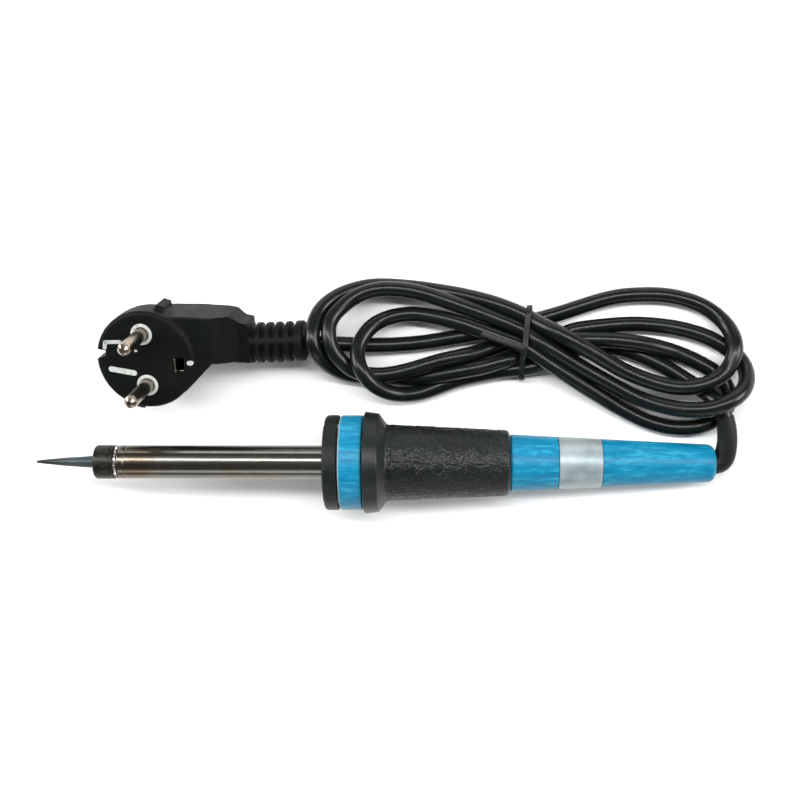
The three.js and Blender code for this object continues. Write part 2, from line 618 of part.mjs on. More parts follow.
const plugBox = new THREE.Box3().setFromObject(plug, true);
plug.position.set(...PLUG_CENTRE, -plugBox.min.z);

// ---- the lead: a short free stretch from the boot, then the hank, which reaches the plug ----
// Hand-chosen points from the boot's end to the hank's edge.
const LEAD_ROUTE = [[122.4, 16.9, 9.3], [122, 18.4, 9.3], [121.3, 19.7, 9.2]];
const hankShape = new THREE.Shape();
hankShape.moveTo(53, 54.9);
hankShape.quadraticCurveTo(30, 64, 5.4, 66.4);
hankShape.absarc(-0.6, 44, 23.2, degrees(75), degrees(285), false);
hankShape.quadraticCurveTo(30, 26, 53, 31.7);
hankShape.quadraticCurveTo(78, 26, 98, 11);
hankShape.lineTo(112, 11);
hankShape.lineTo(118, 14);
hankShape.lineTo(118.6, 21.2);
hankShape.absarc(106, 36.5, 25.4, degrees(-36), degrees(105), false);
hankShape.quadraticCurveTo(75, 60, 53, 54.9);
const hankBlank = new THREE.ExtrudeGeometry(hankShape, {
  depth: HANK_HEIGHT, bevelEnabled: false, curveSegments: 8,
});

// Tie around the hank's waist: a flat band with one tail laid back over the strands.
function band(inset, thickness, width) {
  const [near, far] = [TIE_SIDES[0] + inset, TIE_SIDES[1] - inset];
  const [low, high] = [TIE_LEVELS[0] + inset, TIE_LEVELS[1] - inset];
  const rounded = (grow) => {
    const corner = TIE_CORNER + grow;
    const path = new THREE.Shape();
    path.absarc(far - TIE_CORNER, high - TIE_CORNER, corner, 0, Math.PI / 2, false);
    path.absarc(near + TIE_CORNER, high - TIE_CORNER, corner, Math.PI / 2, Math.PI, false);
    path.absarc(near + TIE_CORNER, low + TIE_CORNER, corner, Math.PI, Math.PI * 1.5, false);
    path.absarc(far - TIE_CORNER, low + TIE_CORNER, corner, Math.PI * 1.5, Math.PI * 2, false);
    path.closePath();
    return path;
  };
  const outline = rounded(thickness);
  outline.holes.push(rounded(0));
  const loop = new THREE.ExtrudeGeometry(outline, { depth: width, bevelEnabled: false, curveSegments: 4 });
  return loop.rotateX(Math.PI / 2).rotateZ(Math.PI / 2).translate(TIE_PLACE[0] - width / 2, 0, 0);
}

const assembly = new THREE.Group();
assembly.add(iron, plug);
assembly.add(piece("cord_lead", wire(LEAD_ROUTE, CORD_DIA, 12, 3), "cordJacket"));
assembly.add(piece("cord_hank", cut(hankBlank, band(GAP, 8, TIE_WIDTH + 2 * GAP)), "cordJacket"));
const tailTop = HANK_HEIGHT + GAP + TIE_THICKNESS / 2;
const [tailLength, tailWidth] = TIE_TAIL;
const tieRiser = block(TIE_WIDTH, tailWidth, 2, ...TIE_PLACE, tailTop - 0.5);
const tieTail = block(tailLength, tailWidth, TIE_THICKNESS, -tailLength / 2, 0, 0)
  .rotateZ(degrees(TIE_TAIL_YAW)).translate(...TIE_PLACE, tailTop);
assembly.add(piece("cord_tie", join(band(0, TIE_THICKNESS, TIE_WIDTH), tieRiser, tieTail), "rubber"));

export default assembly;
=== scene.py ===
"""A mains soldering iron with a pencil bit, a blue grip handle and a moulded earthed plug."""
import json
import math

import bmesh
import bpy
from mathutils import Matrix, Vector, noise


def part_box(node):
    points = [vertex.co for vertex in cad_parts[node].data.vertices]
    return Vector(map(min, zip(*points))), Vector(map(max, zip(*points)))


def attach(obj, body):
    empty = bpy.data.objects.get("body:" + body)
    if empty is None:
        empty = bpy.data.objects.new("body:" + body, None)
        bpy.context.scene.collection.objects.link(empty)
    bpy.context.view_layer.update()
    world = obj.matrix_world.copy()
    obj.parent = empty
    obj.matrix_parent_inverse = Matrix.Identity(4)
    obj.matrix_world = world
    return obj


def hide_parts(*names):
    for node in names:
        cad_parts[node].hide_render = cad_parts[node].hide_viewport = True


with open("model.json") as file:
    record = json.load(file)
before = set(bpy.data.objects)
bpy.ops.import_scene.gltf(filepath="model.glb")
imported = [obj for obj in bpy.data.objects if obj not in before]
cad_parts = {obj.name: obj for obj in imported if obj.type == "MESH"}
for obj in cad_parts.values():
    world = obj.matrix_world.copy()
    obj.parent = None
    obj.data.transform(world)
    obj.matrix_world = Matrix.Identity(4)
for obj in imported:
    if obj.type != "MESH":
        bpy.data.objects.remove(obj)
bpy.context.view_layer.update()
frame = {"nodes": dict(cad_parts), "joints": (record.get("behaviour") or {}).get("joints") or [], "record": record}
MM = 0.001

# ---------------------------------------------------------------------------------------------
# Camera. It stands over the table, above the hank, and leans a little towards the bit, so that
# the iron runs straight across the view and the plug's pins lean to the left.
CAMERA_PLACE = (66.64, 22.09, 418.99)
CAMERA_LEAN = 8
camera_data = bpy.data.cameras.new("camera")
camera_data.lens = 51.75
camera_data.sensor_width = 36
camera = bpy.data.objects.new("camera", camera_data)
camera.location = Vector(CAMERA_PLACE) * MM
camera.rotation_euler = (0, math.radians(CAMERA_LEAN), 0)
bpy.context.scene.collection.objects.link(camera)
bpy.context.scene.camera = camera
bpy.context.scene.view_settings.view_transform = "Standard"


# ---------------------------------------------------------------------------------------------
# Table. A matt laminate sheet, nearly white, with a faint unevenness that only softens the
# shadows under the lead.
def colour(code):
    """Linear RGBA of an sRGB hex colour."""
    parts = [int(code[i:i + 2], 16) / 255 for i in (1, 3, 5)]
    linear = [p / 12.92 if p <= 0.04045 else ((p + 0.055) / 1.055) ** 2.4 for p in parts]
    return (*linear, 1.0)


def add(tree, kind, inputs=None, stops=None, **settings):
    """Adds a shader node, with its settings, its input values or links and its ramp's stops."""
    node = tree.nodes.new("ShaderNode" + kind)
    for name, value in settings.items():
        setattr(node, name, value)
    for name, value in (inputs or {}).items():
        socket = node.inputs[name]
        if isinstance(value, bpy.types.NodeSocket):
            tree.links.new(value, socket)
        else:
            socket.default_value = value
    for i, (place, shade) in enumerate(stops or []):
        while len(node.color_ramp.elements) <= i:
            node.color_ramp.elements.new(place)
        node.color_ramp.elements[i].position = place
        node.color_ramp.elements[i].color = shade
    return node


def finish(name, roughness, metallic=0.0, base="#808080", **sockets):
    """A material with a Principled shader. Returns it, its tree, the shader and a place socket."""
    material = bpy.data.materials.new(name)
    material.use_nodes = True
    tree = material.node_tree
    shader = tree.nodes["Principled BSDF"]
    shader.inputs["Base Color"].default_value = colour(base)
    shader.inputs["Roughness"].default_value = roughness
    shader.inputs["Metallic"].default_value = metallic
    for socket, value in sockets.items():
        shader.inputs[socket.replace("_", " ")].default_value = value
    return material, tree, shader, add(tree, "TexCoord").outputs["Object"]


def dress(tree, shader, tone=None, rough=None, bump=None):
    """Links a finish's colour, roughness and bump nodes to its shader."""
    for node, output, socket in ((tone, "Color", "Base Color"), (rough, "Result", "Roughness"),
                                 (bump, "Normal", "Normal")):
        if node:
            tree.links.new(node.outputs[output], shader.inputs[socket])


table_finish, tree, shader, place = finish("matt_laminate", 0.9, base="#f2f2f0")
mottle = add(tree, "TexNoise", {"Vector": place, "Scale": 9.0, "Detail": 3.0})
tone = add(tree, "ValToRGB", {"Fac": mottle.outputs["Fac"]},
           stops=[(0.3, colour("#f1f1ef")), (0.7, colour("#f5f5f3"))])
dress(tree, shader, tone=tone)
bpy.ops.mesh.primitive_plane_add(size=8, location=(0, 0, 0))
table = bpy.context.object
table.name = "table"
table.data.materials.append(table_finish)

# Lights. One long narrow softbox hangs behind the top edge and draws the thin bright line along
# the barrel and the lead; two wide ones fill the table, and two low ones light the near and
# far sides.
for name, energy, size, spot, aim in (
        ("strip_light", 12, (1.5, 0.10), (0.05, 0.30, 1.0), (0.02, 0.03, 0)),
        ("wide_light_left", 34, (1.0, 0.9), (-1.7, 0.5, 1.05), (0, 0, 0)),
        ("wide_light_right", 34, (1.0, 0.9), (1.8, 0.3, 1.05), (0, 0, 0)),
        ("low_front_light", 6, (1.6, 0.5), (0.1, -1.5, 0.75), (0, 0, 0)),
        ("low_back_light", 6, (1.6, 0.3), (0.1, 1.6, 0.5), (0, 0, 0)),
):
    light = bpy.data.lights.new(name, "AREA")
    light.shape = "RECTANGLE"
    light.energy = energy
    light.size, light.size_y = size
    lamp = bpy.data.objects.new(name, light)
    lamp.location = spot
    lamp.rotation_euler = (Vector(aim) - Vector(spot)).to_track_quat("-Z", "Y").to_euler()
    bpy.context.scene.collection.objects.link(lamp)
world = bpy.data.worlds.new("studio")
world.use_nodes = True
world.node_tree.nodes["Background"].inputs["Color"].default_value = colour("#f4f6f8")
world.node_tree.nodes["Background"].inputs["Strength"].default_value = 0.14
bpy.context.scene.world = world

# ---------------------------------------------------------------------------------------------
# Lead. Three cores in a round black PVC jacket, extruded, so it is smooth and has a long soft
# gloss. It leaves the iron's boot, lies in a loose hank of four turns and ends in the plug.

# The iron's own frame: its X runs from the bit's point to the rear end, on the joints' axis.
turning = next(j for j in frame["joints"] if j["name"] == "collar_turn")
along = -Vector(turning["axis"]).normalized()
across = Vector((0, 1, 0))
iron_frame = Matrix((along, across, along.cross(across))).transposed().to_4x4()
iron_frame.translation = Vector(turning["pos_m"])
iron_frame.translation += along * min((iron_frame.inverted() @ vertex.co).x
                                      for vertex in frame["nodes"]["tip"].data.vertices)


def span(node):
    """Front station, rear station and largest radius of a turned CAD node, in mm."""
    inverse = iron_frame.inverted()
    spots = [inverse @ vertex.co / MM for vertex in frame["nodes"][node].data.vertices]
    return (min(spot.x for spot in spots), max(spot.x for spot in spots),
            max(math.hypot(spot.y, spot.z) for spot in spots))


handle_rear = span("handle_body")[1]

CORD_DIA = 5.6
BOOT_ROUTE = [(0, 0, 0), (2.1, 0.6, 0.2), (3.4, 2.5, 0.7), (4.0, 5.6, 1.5), (4.1, 9.2, 2.2),
              (3.7, 12.9, 2.8), (2.9, 16.4, 3.3)]
boot_points = [iron_frame @ (Vector((handle_rear + x, y, z)) * MM) for x, y, z in BOOT_ROUTE]

# Points of the lead's centre line after the boot, mm, with the height of each layer it lies on.
LEAD_ROUTE = [
    # out of the boot, down to the table and back to the tie
    (122.0, 18.4, 9.3), (120.9, 20.4, 8.9), (118.4, 23.0, 7.0), (115.2, 25.6, 4.6),
    (111.4, 28.3, 3.2), (107.9, 30.6, 2.8), (103.8, 33.2, 2.8), (99.3, 35.6, 2.8), (94.1, 38.0, 2.8),
    (87.2, 40.3, 2.8), (80.2, 41.3, 2.8), (73.0, 40.6, 2.8), (66.1, 38.3, 2.8), (60.0, 34.9, 2.9),
    # smallest turn, left of the tie
    (53.5, 33.4, 3.2), (44.8, 32.6, 2.8), (37.6, 31.2, 2.8), (30.0, 29.6, 2.8), (23.2, 27.2, 2.8),
    (15.9, 24.7, 3.0), (8.6, 24.1, 5.5), (3.1, 25.4, 9.2), (-1.3, 28.6, 13.0), (-4.3, 33.0, 14.3),
    (-5.8, 37.4, 13.2), (-5.4, 42.1, 11.6), (-2.4, 47.6, 9.2), (3.1, 51.5, 6.8), (10.4, 53.1, 5.6),
    (15.9, 53.0, 5.6), (23.2, 51.7, 6.6), (30.4, 49.8, 7.9), (37.6, 47.2, 8.6), (44.8, 44.4, 8.7),
    # lowest turn on the right, which passes under the boot
    (53.5, 41.1, 8.8), (59.0, 37.4, 8.8), (66.1, 32.6, 8.6), (73.1, 27.8, 7.0), (80.1, 23.5, 5.0),
    (87.1, 19.3, 3.4), (94.0, 15.7, 2.8), (99.2, 13.8, 2.8), (104.3, 12.6, 2.8), (109.5, 12.3, 2.8),
    (114.9, 12.9, 2.8), (119.9, 15.1, 2.8), (123.5, 18.6, 2.8), (125.0, 23.0, 2.8), (123.5, 27.7, 2.8),
    (119.9, 31.9, 2.8), (114.9, 35.0, 2.8), (107.7, 38.4, 3.2), (100.9, 40.4, 5.6), (94.0, 41.9, 7.8),
    (87.0, 42.9, 8.4), (80.1, 43.3, 8.4), (73.0, 43.4, 8.4), (66.0, 43.7, 8.3), (62.0, 44.0, 6.6),
    (58.5, 44.2, 4.3),
    # inner of the two wide turns on the left
    (53.5, 44.2, 3.2), (45.0, 42.0, 3.3), (37.6, 39.4, 5.4), (30.5, 37.6, 8.3), (23.5, 36.1, 8.6),
    (16.2, 34.0, 8.4), (8.6, 32.0, 8.5), (-0.6, 31.0, 8.8), (-8.0, 32.9, 10.2), (-11.6, 36.0, 12.2),
    (-14.6, 39.6, 13.7), (-15.9, 44.0, 14.3), (-16.1, 48.1, 13.6), (-15.0, 52.1, 12.2),
    (-10.6, 57.0, 9.8), (-5.0, 60.5, 8.8), (1.3, 62.1, 8.4), (8.6, 62.0, 8.4), (15.9, 60.8, 8.4),
    (23.2, 58.5, 8.4), (30.4, 55.9, 8.4), (37.6, 53.3, 8.5), (44.8, 50.4, 8.7),
    # middle turn on the right, which passes over the lead's first stretch
    (53.5, 46.7, 8.8), (57.0, 44.2, 9.9), (60.8, 41.5, 11.0), (66.1, 38.1, 10.2), (73.1, 33.8, 8.8),
    (80.1, 29.9, 7.6), (87.1, 26.0, 6.8), (94.0, 22.6, 7.2), (100.9, 20.3, 9.0), (107.7, 18.9, 11.6),
    (113.7, 18.7, 13.4), (119.1, 19.5, 14.5), (123.1, 21.4, 14.7), (127.4, 24.3, 12.6),
    (129.8, 28.0, 9.0), (130.2, 32.5, 5.2), (128.2, 36.7, 3.0), (124.6, 39.9, 2.8), (120.3, 42.7, 2.8),
    (114.9, 45.2, 2.8), (107.7, 47.3, 2.8), (100.9, 48.4, 2.8), (94.0, 49.0, 2.8), (87.1, 48.9, 2.8),
    (80.1, 48.3, 2.8), (74.0, 47.6, 2.8), (69.6, 46.6, 2.8), (65.0, 44.6, 2.8), (60.8, 42.2, 2.8),
    (57.0, 40.3, 3.0),
    # outer of the two wide turns on the left
    (53.5, 38.6, 3.2), (49.0, 37.0, 5.8), (44.8, 35.6, 7.1), (37.6, 33.6, 7.5), (30.4, 32.4, 7.3),
    (23.2, 31.0, 6.3), (15.9, 30.2, 4.0), (8.6, 30.1, 2.9), (0.5, 30.4, 2.8), (-8.0, 30.9, 3.4),
    (-12.8, 32.2, 5.6), (-17.0, 34.6, 9.0), (-20.2, 38.3, 12.8), (-21.9, 43.0, 15.2),
    (-21.6, 48.5, 13.8), (-20.0, 54.6, 10.4), (-14.9, 59.6, 7.0), (-8.2, 62.6, 4.2), (-0.6, 64.0, 2.9),
    (8.6, 63.5, 2.8), (15.9, 62.7, 2.8), (23.2, 61.5, 3.0), (30.4, 60.1, 4.2), (37.6, 58.2, 6.0),
    (44.8, 55.9, 7.8),
    # widest turn on the right
    (53.5, 52.2, 8.7), (58.0, 49.5, 10.2), (62.0, 47.4, 12.2), (66.1, 45.2, 13.8), (69.8, 43.0, 14.1),
    (73.5, 40.8, 13.4), (80.1, 37.0, 11.4), (87.1, 32.9, 9.6), (94.0, 29.9, 8.8), (100.9, 27.6, 8.9),
    (107.7, 26.4, 9.6), (114.5, 27.1, 10.4), (120.4, 29.8, 9.6), (124.2, 33.8, 8.8), (126.0, 38.8, 8.7),
    (125.9, 43.2, 7.0), (124.2, 47.6, 4.6), (120.4, 52.0, 3.0), (114.9, 55.7, 2.8), (107.7, 58.2, 2.8),
    (100.9, 59.3, 2.8), (94.0, 59.4, 2.8), (87.1, 59.0, 2.8), (80.1, 57.5, 2.8), (73.1, 55.4, 2.8),
    (66.1, 53.2, 2.8), (60.8, 51.7, 2.9),
    # through the tie and into the plug's relief
    (53.5, 49.8, 3.2), (40.0, 46.8, 2.8), (27.0, 44.6, 2.8), (18.0, 43.2, 2.8), (9.0, 42.4, 3.0),
    (0.0, 42.1, 4.4), (-9.0, 42.3, 6.9), (-17.0, 42.6, 8.9), (-22.0, 42.9, 9.6), (-26.5, 43.0, 9.8),
    (-31.0, 42.9, 10.6),
]
cord_line = boot_points[-3:] + [Vector(point) * MM for point in LEAD_ROUTE]
# A spline runs inside its control points, so each point is pushed out by the same amount.
pushed = [spot + (spot * 2 - before - after) / 6
          for before, spot, after in zip(cord_line, cord_line[1:], cord_line[2:])]
pushed = [cord_line[0], *pushed, cord_line[-1]]
cord_curve = bpy.data.curves.new("mains_lead", "CURVE")
cord_curve.dimensions = "3D"
cord_curve.bevel_depth = CORD_DIA / 2 * MM
cord_curve.bevel_resolution = 8
cord_curve.use_fill_caps = True
spline = cord_curve.splines.new("NURBS")
spline.points.add(len(cord_line) - 1)
for point, spot in zip(spline.points, pushed):
    point.co = (*spot, 1)
spline.order_u = 4
spline.use_endpoint_u = True
spline.resolution_u = 5
mains_lead = bpy.data.objects.new("mains_lead", cord_curve)
bpy.context.scene.collection.objects.link(mains_lead)

# Black extruded PVC: smooth, with the slight orange peel and the handling scuffs of a used lead.
jacket_finish, tree, shader, place = finish("extruded_pvc", 0.25, base="#0a0f0d", Specular_IOR_Level=0.3)
peel = add(tree, "TexNoise", {"Vector": place, "Scale": 420.0, "Detail": 3.0})
scuff = add(tree, "TexNoise", {"Vector": place, "Scale": 60.0, "Detail": 5.0, "Roughness": 0.7})
tone = add(tree, "ValToRGB", {"Fac": scuff.outputs["Fac"]},
           stops=[(0.35, colour("#070b09")), (0.75, colour("#101513"))])
gloss = add(tree, "MapRange", {"Value": scuff.outputs["Fac"], "To Min": 0.22, "To Max": 0.34})
bump = add(tree, "Bump", {"Height": peel.outputs["Fac"], "Strength": 0.03, "Distance": 0.0001})
dress(tree, shader, tone=tone, rough=gloss, bump=bump)
cord_curve.materials.append(jacket_finish)
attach(mains_lead, "iron")
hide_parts("cord_lead", "cord_hank")


# ---------------------------------------------------------------------------------------------
# Boot. A soft rubber strain relief, moulded as a taper and held by a flange inside the handle.
# It bends with the lead, so its rings lie square to the lead's line.
def softened(corners, steps=6):
    """Points of a profile whose (station, radius, rounding) corners are rounded off."""
    points = []
    for i, (station, radius, rounding) in enumerate(corners):
        here = Vector((station, radius))
        if not rounding or i in (0, len(corners) - 1):
            points.append(here)
            continue
        before = (Vector(corners[i - 1][:2]) - here).normalized() * rounding
        after = (Vector(corners[i + 1][:2]) - here).normalized() * rounding
        for k in range(steps + 1):
            share = k / steps
            points.append(here + before * (1 - share) ** 2 + after * share ** 2)
    return points


def lathe(points, sides=96, closed=False):
    """A bmesh turned around X from (station, radius) points in mm, in metres."""
    mesh = bmesh.new()
    rings = []
    for station, radius in points:
        if radius < 1e-4:
            rings.append([mesh.verts.new((station * MM, 0, 0))] * sides)
            continue
        ring = []
        for k in range(sides):
            turn = 2 * math.pi * k / sides
            ring.append(mesh.verts.new((station * MM, radius * MM * math.cos(turn),
                                        radius * MM * math.sin(turn))))
        rings.append(ring)
    pairs = list(zip(rings, rings[1:]))
    if closed:
        pairs.append((rings[-1], rings[0]))
    for near, far in pairs:
        for k in range(sides):
            corners = [near[k], near[k - 1], far[k - 1], far[k]]
            kept = [corner for j, corner in enumerate(corners) if corner not in corners[:j]]
            if len(kept) > 2:
                mesh.faces.new(kept)
    bmesh.ops.recalc_face_normals(mesh, faces=mesh.faces)
    return mesh


def smooth(data, crease=32):
    """Shades a mesh smooth except over edges sharper than the crease, in degrees."""
    for face in data.polygons:
        face.use_smooth = True
    data.set_sharp_from_angle(angle=math.radians(crease))


def build(name, mesh, material, place, crease=32):
    """A smooth-shaded object from a bmesh, in the frame given by place."""
    data = bpy.data.meshes.new(name)
    mesh.to_mesh(data)
    mesh.free()
    smooth(data, crease)
    data.materials.append(material)
    piece = bpy.data.objects.new(name, data)
    piece.matrix_world = place
    bpy.context.scene.collection.objects.link(piece)
    return piece


def smooth_route(points, steps=8):
    """Points of a Catmull-Rom line through the given points."""
    ends = [points[0] * 2 - points[1], *points, points[-1] * 2 - points[-2]]
    route = []
    for i in range(1, len(ends) - 2):
        a, b, c, d = ends[i - 1:i + 3]
        for k in range(steps):
            t = k / steps
            route.append(0.5 * (2 * b + (c - a) * t + (2 * a - 5 * b + 4 * c - d) * t * t
                                + (3 * b - a - 3 * c + d) * t ** 3))
    return route + [points[-1]]


def bend(mesh, route, side):
    """Bends a bmesh made along X so that its axis from X = 0 on follows a route."""
    stations = [0.0]
    for a, b in zip(route, route[1:]):
        stations.append(stations[-1] + (b - a).length)
    for vertex in mesh.verts:
        if vertex.co.x <= 0:
            continue
        k = next((i for i, s in enumerate(stations) if s >= vertex.co.x), len(route) - 1)
        k = max(k, 1)
        ahead = (route[k] - route[k - 1]).normalized()
        left = side.cross(ahead).normalized()
        centre = route[k - 1] + ahead * (vertex.co.x - stations[k - 1])
        vertex.co = centre + left * vertex.co.y + ahead.cross(left) * vertex.co.z


def length_of(points):
    """Length of the line through the given points."""
    return sum((b - a).length for a, b in zip(points, points[1:]))


def cover(material, *names):
    """Puts one material on CAD nodes that keep their own shape."""
    for name in names:
        data = frame["nodes"][name].data
        data.materials.clear()
        data.materials.append(material)


boot_route = smooth_route([Vector(point) * MM for point in BOOT_ROUTE])
boot_length = length_of(boot_route) / MM
BOOT_FRONT_RADIUS = 3.8
BOOT_END_RADIUS = 3.15
BOOT_BORE_RADIUS = CORD_DIA / 2 - 0.05
BOOT_ROOT = -4
BOOT_RINGS = 40
boot_corners = [(BOOT_ROOT, BOOT_BORE_RADIUS, 0), (BOOT_ROOT, BOOT_FRONT_RADIUS, 0)]
for i in range(BOOT_RINGS + 1):
    radius = BOOT_FRONT_RADIUS + (BOOT_END_RADIUS - BOOT_FRONT_RADIUS) * i / BOOT_RINGS
    boot_corners.append((boot_length * i / BOOT_RINGS, radius, 0.3 if i == BOOT_RINGS else 0))
for i in range(BOOT_RINGS, -1, -1):
    boot_corners.append((boot_length * i / BOOT_RINGS, BOOT_BORE_RADIUS, 0))
boot_mesh = lathe(softened(boot_corners), sides=48, closed=True)
bend(boot_mesh, boot_route, Vector((0, 0, 1)))

# Moulded rubber: matt, with a fine spark-eroded grain from the tool.
boot_finish, tree, shader, place = finish("moulded_boot_rubber", 0.5, base="#0a0e0c", Specular_IOR_Level=0.25)
grain = add(tree, "TexNoise", {"Vector": place, "Scale": 1400.0, "Detail": 2.0})
bump = add(tree, "Bump", {"Height": grain.outputs["Fac"], "Strength": 0.3, "Distance": 0.0001})
dress(tree, shader, bump=bump)
boot_frame = iron_frame @ Matrix.Translation((handle_rear * MM, 0, 0))
lead_boot = build("lead_boot", boot_mesh, boot_finish, boot_frame)
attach(lead_boot, "iron")
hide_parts("handle_boot")
cover(jacket_finish, "jacket_end")


# ---------------------------------------------------------------------------------------------
# Tie. A flat plastic-covered wire, twisted once on top of the hank, with one free tail that is
# pressed back along the turns.
def ribbon(name, route, width, thickness, material, wide, closed=False):
    """A flat strip with rounded edges along a route. wide(i) is its width's direction."""
    mesh = bmesh.new()
    rings = []
    for i, spot in enumerate(route):
        before = route[i - 1] if closed or i else spot
        after = route[(i + 1) % len(route)] if closed or i < len(route) - 1 else spot
        ahead = (after - before).normalized()
        flat = wide(i).normalized()
        flat = (flat - ahead * flat.dot(ahead)).normalized()
        up = ahead.cross(flat)
        ring = []
        for k in range(16):
            turn = 2 * math.pi * k / 16
            reach_x = math.copysign(abs(math.cos(turn)) ** 0.55, math.cos(turn)) * width / 2
            reach_z = math.copysign(abs(math.sin(turn)) ** 0.55, math.sin(turn)) * thickness / 2
            ring.append(mesh.verts.new(spot + flat * reach_x + up * reach_z))
        rings.append(ring)
    pairs = list(zip(rings, rings[1:])) + ([(rings[-1], rings[0])] if closed else [])
    for near, far in pairs:
        for k in range(16):
            mesh.faces.new((near[k], near[k - 1], far[k - 1], far[k]))
    if not closed:
        mesh.faces.new(rings[0])
        mesh.faces.new(rings[-1][::-1])
    bmesh.ops.recalc_face_normals(mesh, faces=mesh.faces)
    return build(name, mesh, material, Matrix.Identity(4), crease=60)


# Low-density polyethylene over steel wire: black, a little waxy, with faint drawing lines.
tie_finish, tree, shader, place = finish("waxy_tie_plastic", 0.42, base="#0d1110", Specular_IOR_Level=0.3)
lines = add(tree, "TexNoise", {"Vector": place, "Scale": 900.0, "Detail": 2.0})
bump = add(tree, "Bump", {"Height": lines.outputs["Fac"], "Strength": 0.2, "Distance": 0.0001})
dress(tree, shader, bump=bump)

# The loop's points go up the far side, over the seven strands and down the near side, mm.
TIE_LOOP = [(55.4, 55.6, 6.0), (55.4, 55.2, 9.8), (55.2, 53.0, 12.2), (54.8, 49.6, 12.5),
            (54.4, 46.2, 12.4), (54.1, 42.8, 12.3), (53.8, 39.6, 12.2), (53.1, 37.4, 10.2),
            (52.7, 35.2, 7.6), (52.5, 32.0, 6.6), (52.4, 29.8, 4.6), (52.4, 30.0, 1.8), (52.8, 33.0, 0.4),
            (53.6, 40.0, 0.4), (54.6, 48.0, 0.4), (55.2, 53.0, 1.6)]
TIE_TAIL = [(53.7, 40.4, 12.6), (52.6, 40.6, 12.9), (49.0, 41.8, 13.1), (44.0, 43.6, 12.7),
            (38.6, 45.6, 12.5)]
loop_route = smooth_route([Vector(point) * MM for point in TIE_LOOP + TIE_LOOP[:1]])[:-1]
tail_route = smooth_route([Vector(point) * MM for point in TIE_TAIL])
tie_loop = ribbon("wire_tie", loop_route, 2.0 * MM, 0.8 * MM, tie_finish,
                  lambda i: Vector((1, 0, 0)), closed=True)
tie_tail = ribbon("wire_tie_tail", tail_route, 2.2 * MM, 0.8 * MM, tie_finish,
                  lambda i: Vector((0.35, 1, 0)))
for part in (tie_loop, tie_tail):
    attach(part, "iron")
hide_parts("cord_tie")
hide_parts("cord_tie")

# ---------------------------------------------------------------------------------------------
# Bit. Turned copper, iron-plated and tinned: a long pencil point on a plain shank that slides
# into the heater. The plating is blue-grey, and the tinned end is a shade darker.
bit_rear, shank_radius = span("tip")[1:]
collar_front, spigot_rear, collar_radius = span("tip_collar")
cone_rear = collar_front - 0.5
bit_corners = [(0, 0, 0), (0, 0.32, 0.1), (0.9, 0.55, 0.2), (cone_rear * 0.5, shank_radius * 0.7, 1),
               (cone_rear, shank_radius, 0.6), (bit_rear - 0.6, shank_radius, 0),
               (bit_rear, shank_radius - 0.6, 0), (bit_rear, 0, 0)]
plating, tree, shader, place = finish("plated_bit_iron", 0.55, metallic=0.35, base="#4d5352")
station = add(tree, "SeparateXYZ", {"Vector": place}).outputs["X"]
patch = add(tree, "TexNoise", {"Vector": place, "Scale": 380.0, "Detail": 4.0})
edge = add(tree, "Math", {0: patch.outputs["Fac"], 1: 0.006}, operation="MULTIPLY")
reach = add(tree, "Math", {0: station, 1: edge.outputs["Value"]}, operation="SUBTRACT")
zone = add(tree, "MapRange", {"Value": reach.outputs["Value"], "From Min": 0.0, "From Max": 0.022})
# The tinned point is darker, and the shank is also painted darker where it goes into the collar: painted shade.
tone = add(tree, "ValToRGB", {"Fac": zone.outputs["Result"]}, stops=[
    (0.02, colour("#1d2223")), (0.2, colour("#313939")), (0.5, colour("#3f4849")),
    (0.86, colour("#384142")), (0.97, colour("#202526"))])
rough = add(tree, "MapRange", {"Value": patch.outputs["Fac"], "To Min": 0.3, "To Max": 0.55})
turned = add(tree, "TexWave", {"Vector": place, "Scale": 900.0, "Distortion": 0.6, "Detail": 1.0},
             bands_direction="X")
bump = add(tree, "Bump", {"Height": turned.outputs["Fac"], "Strength": 0.08, "Distance": 0.00005})
dress(tree, shader, tone=tone, rough=rough, bump=bump)
bit = build("pencil_bit", lathe(softened(bit_corners), sides=64), plating, iron_frame)
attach(bit, "bit")
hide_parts("tip")

# ---------------------------------------------------------------------------------------------
# Retaining collar. Blackened steel, turned with a rounded nose and a shallow groove. Its thread
# screws into the barrel, and turning it pinches the bit's shank.
washer_front, washer_rear, washer_radius = span("collar_washer")
collar_rear = washer_front - 0.3
SPIGOT_RADIUS = 4.85
bore = shank_radius + 0.15
collar_corners = [
    (collar_front + 0.5, bore, 0), (collar_front, bore + 0.5, 0.2), (collar_front, collar_radius, 1.0),
    (collar_rear - 1.5, collar_radius, 0.15),
    (collar_rear - 1.35, collar_radius - 0.25, 0.1), (collar_rear - 1.0, collar_radius - 0.25, 0.1),
    (collar_rear - 0.85, collar_radius, 0.15), (collar_rear - 0.2, collar_radius, 0.2),
    (collar_rear, collar_radius - 0.3, 0.1), (collar_rear, SPIGOT_RADIUS, 0)]
THREAD_PITCH = 1.0
thread_turns = int((spigot_rear - collar_rear) / THREAD_PITCH)
for i in range(thread_turns):
    start = collar_rear + i * THREAD_PITCH
    collar_corners += [(start + 0.3, SPIGOT_RADIUS - 0.5, 0.1), (start + 0.8, SPIGOT_RADIUS, 0.1)]
collar_corners += [(spigot_rear, SPIGOT_RADIUS - 0.4, 0), (spigot_rear, bore, 0)]
blackened, tree, shader, place = finish("blackened_steel", 0.38, metallic=0.9, base="#33332f")
wear = add(tree, "TexNoise", {"Vector": place, "Scale": 520.0, "Detail": 5.0, "Roughness": 0.7})
tone = add(tree, "ValToRGB", {"Fac": wear.outputs["Fac"]}, stops=[
    (0.35, colour("#24241f")), (0.62, colour("#3a3a34")), (0.75, colour("#6a685f"))])
rough = add(tree, "MapRange", {"Value": wear.outputs["Fac"], "To Min": 0.28, "To Max": 0.5})
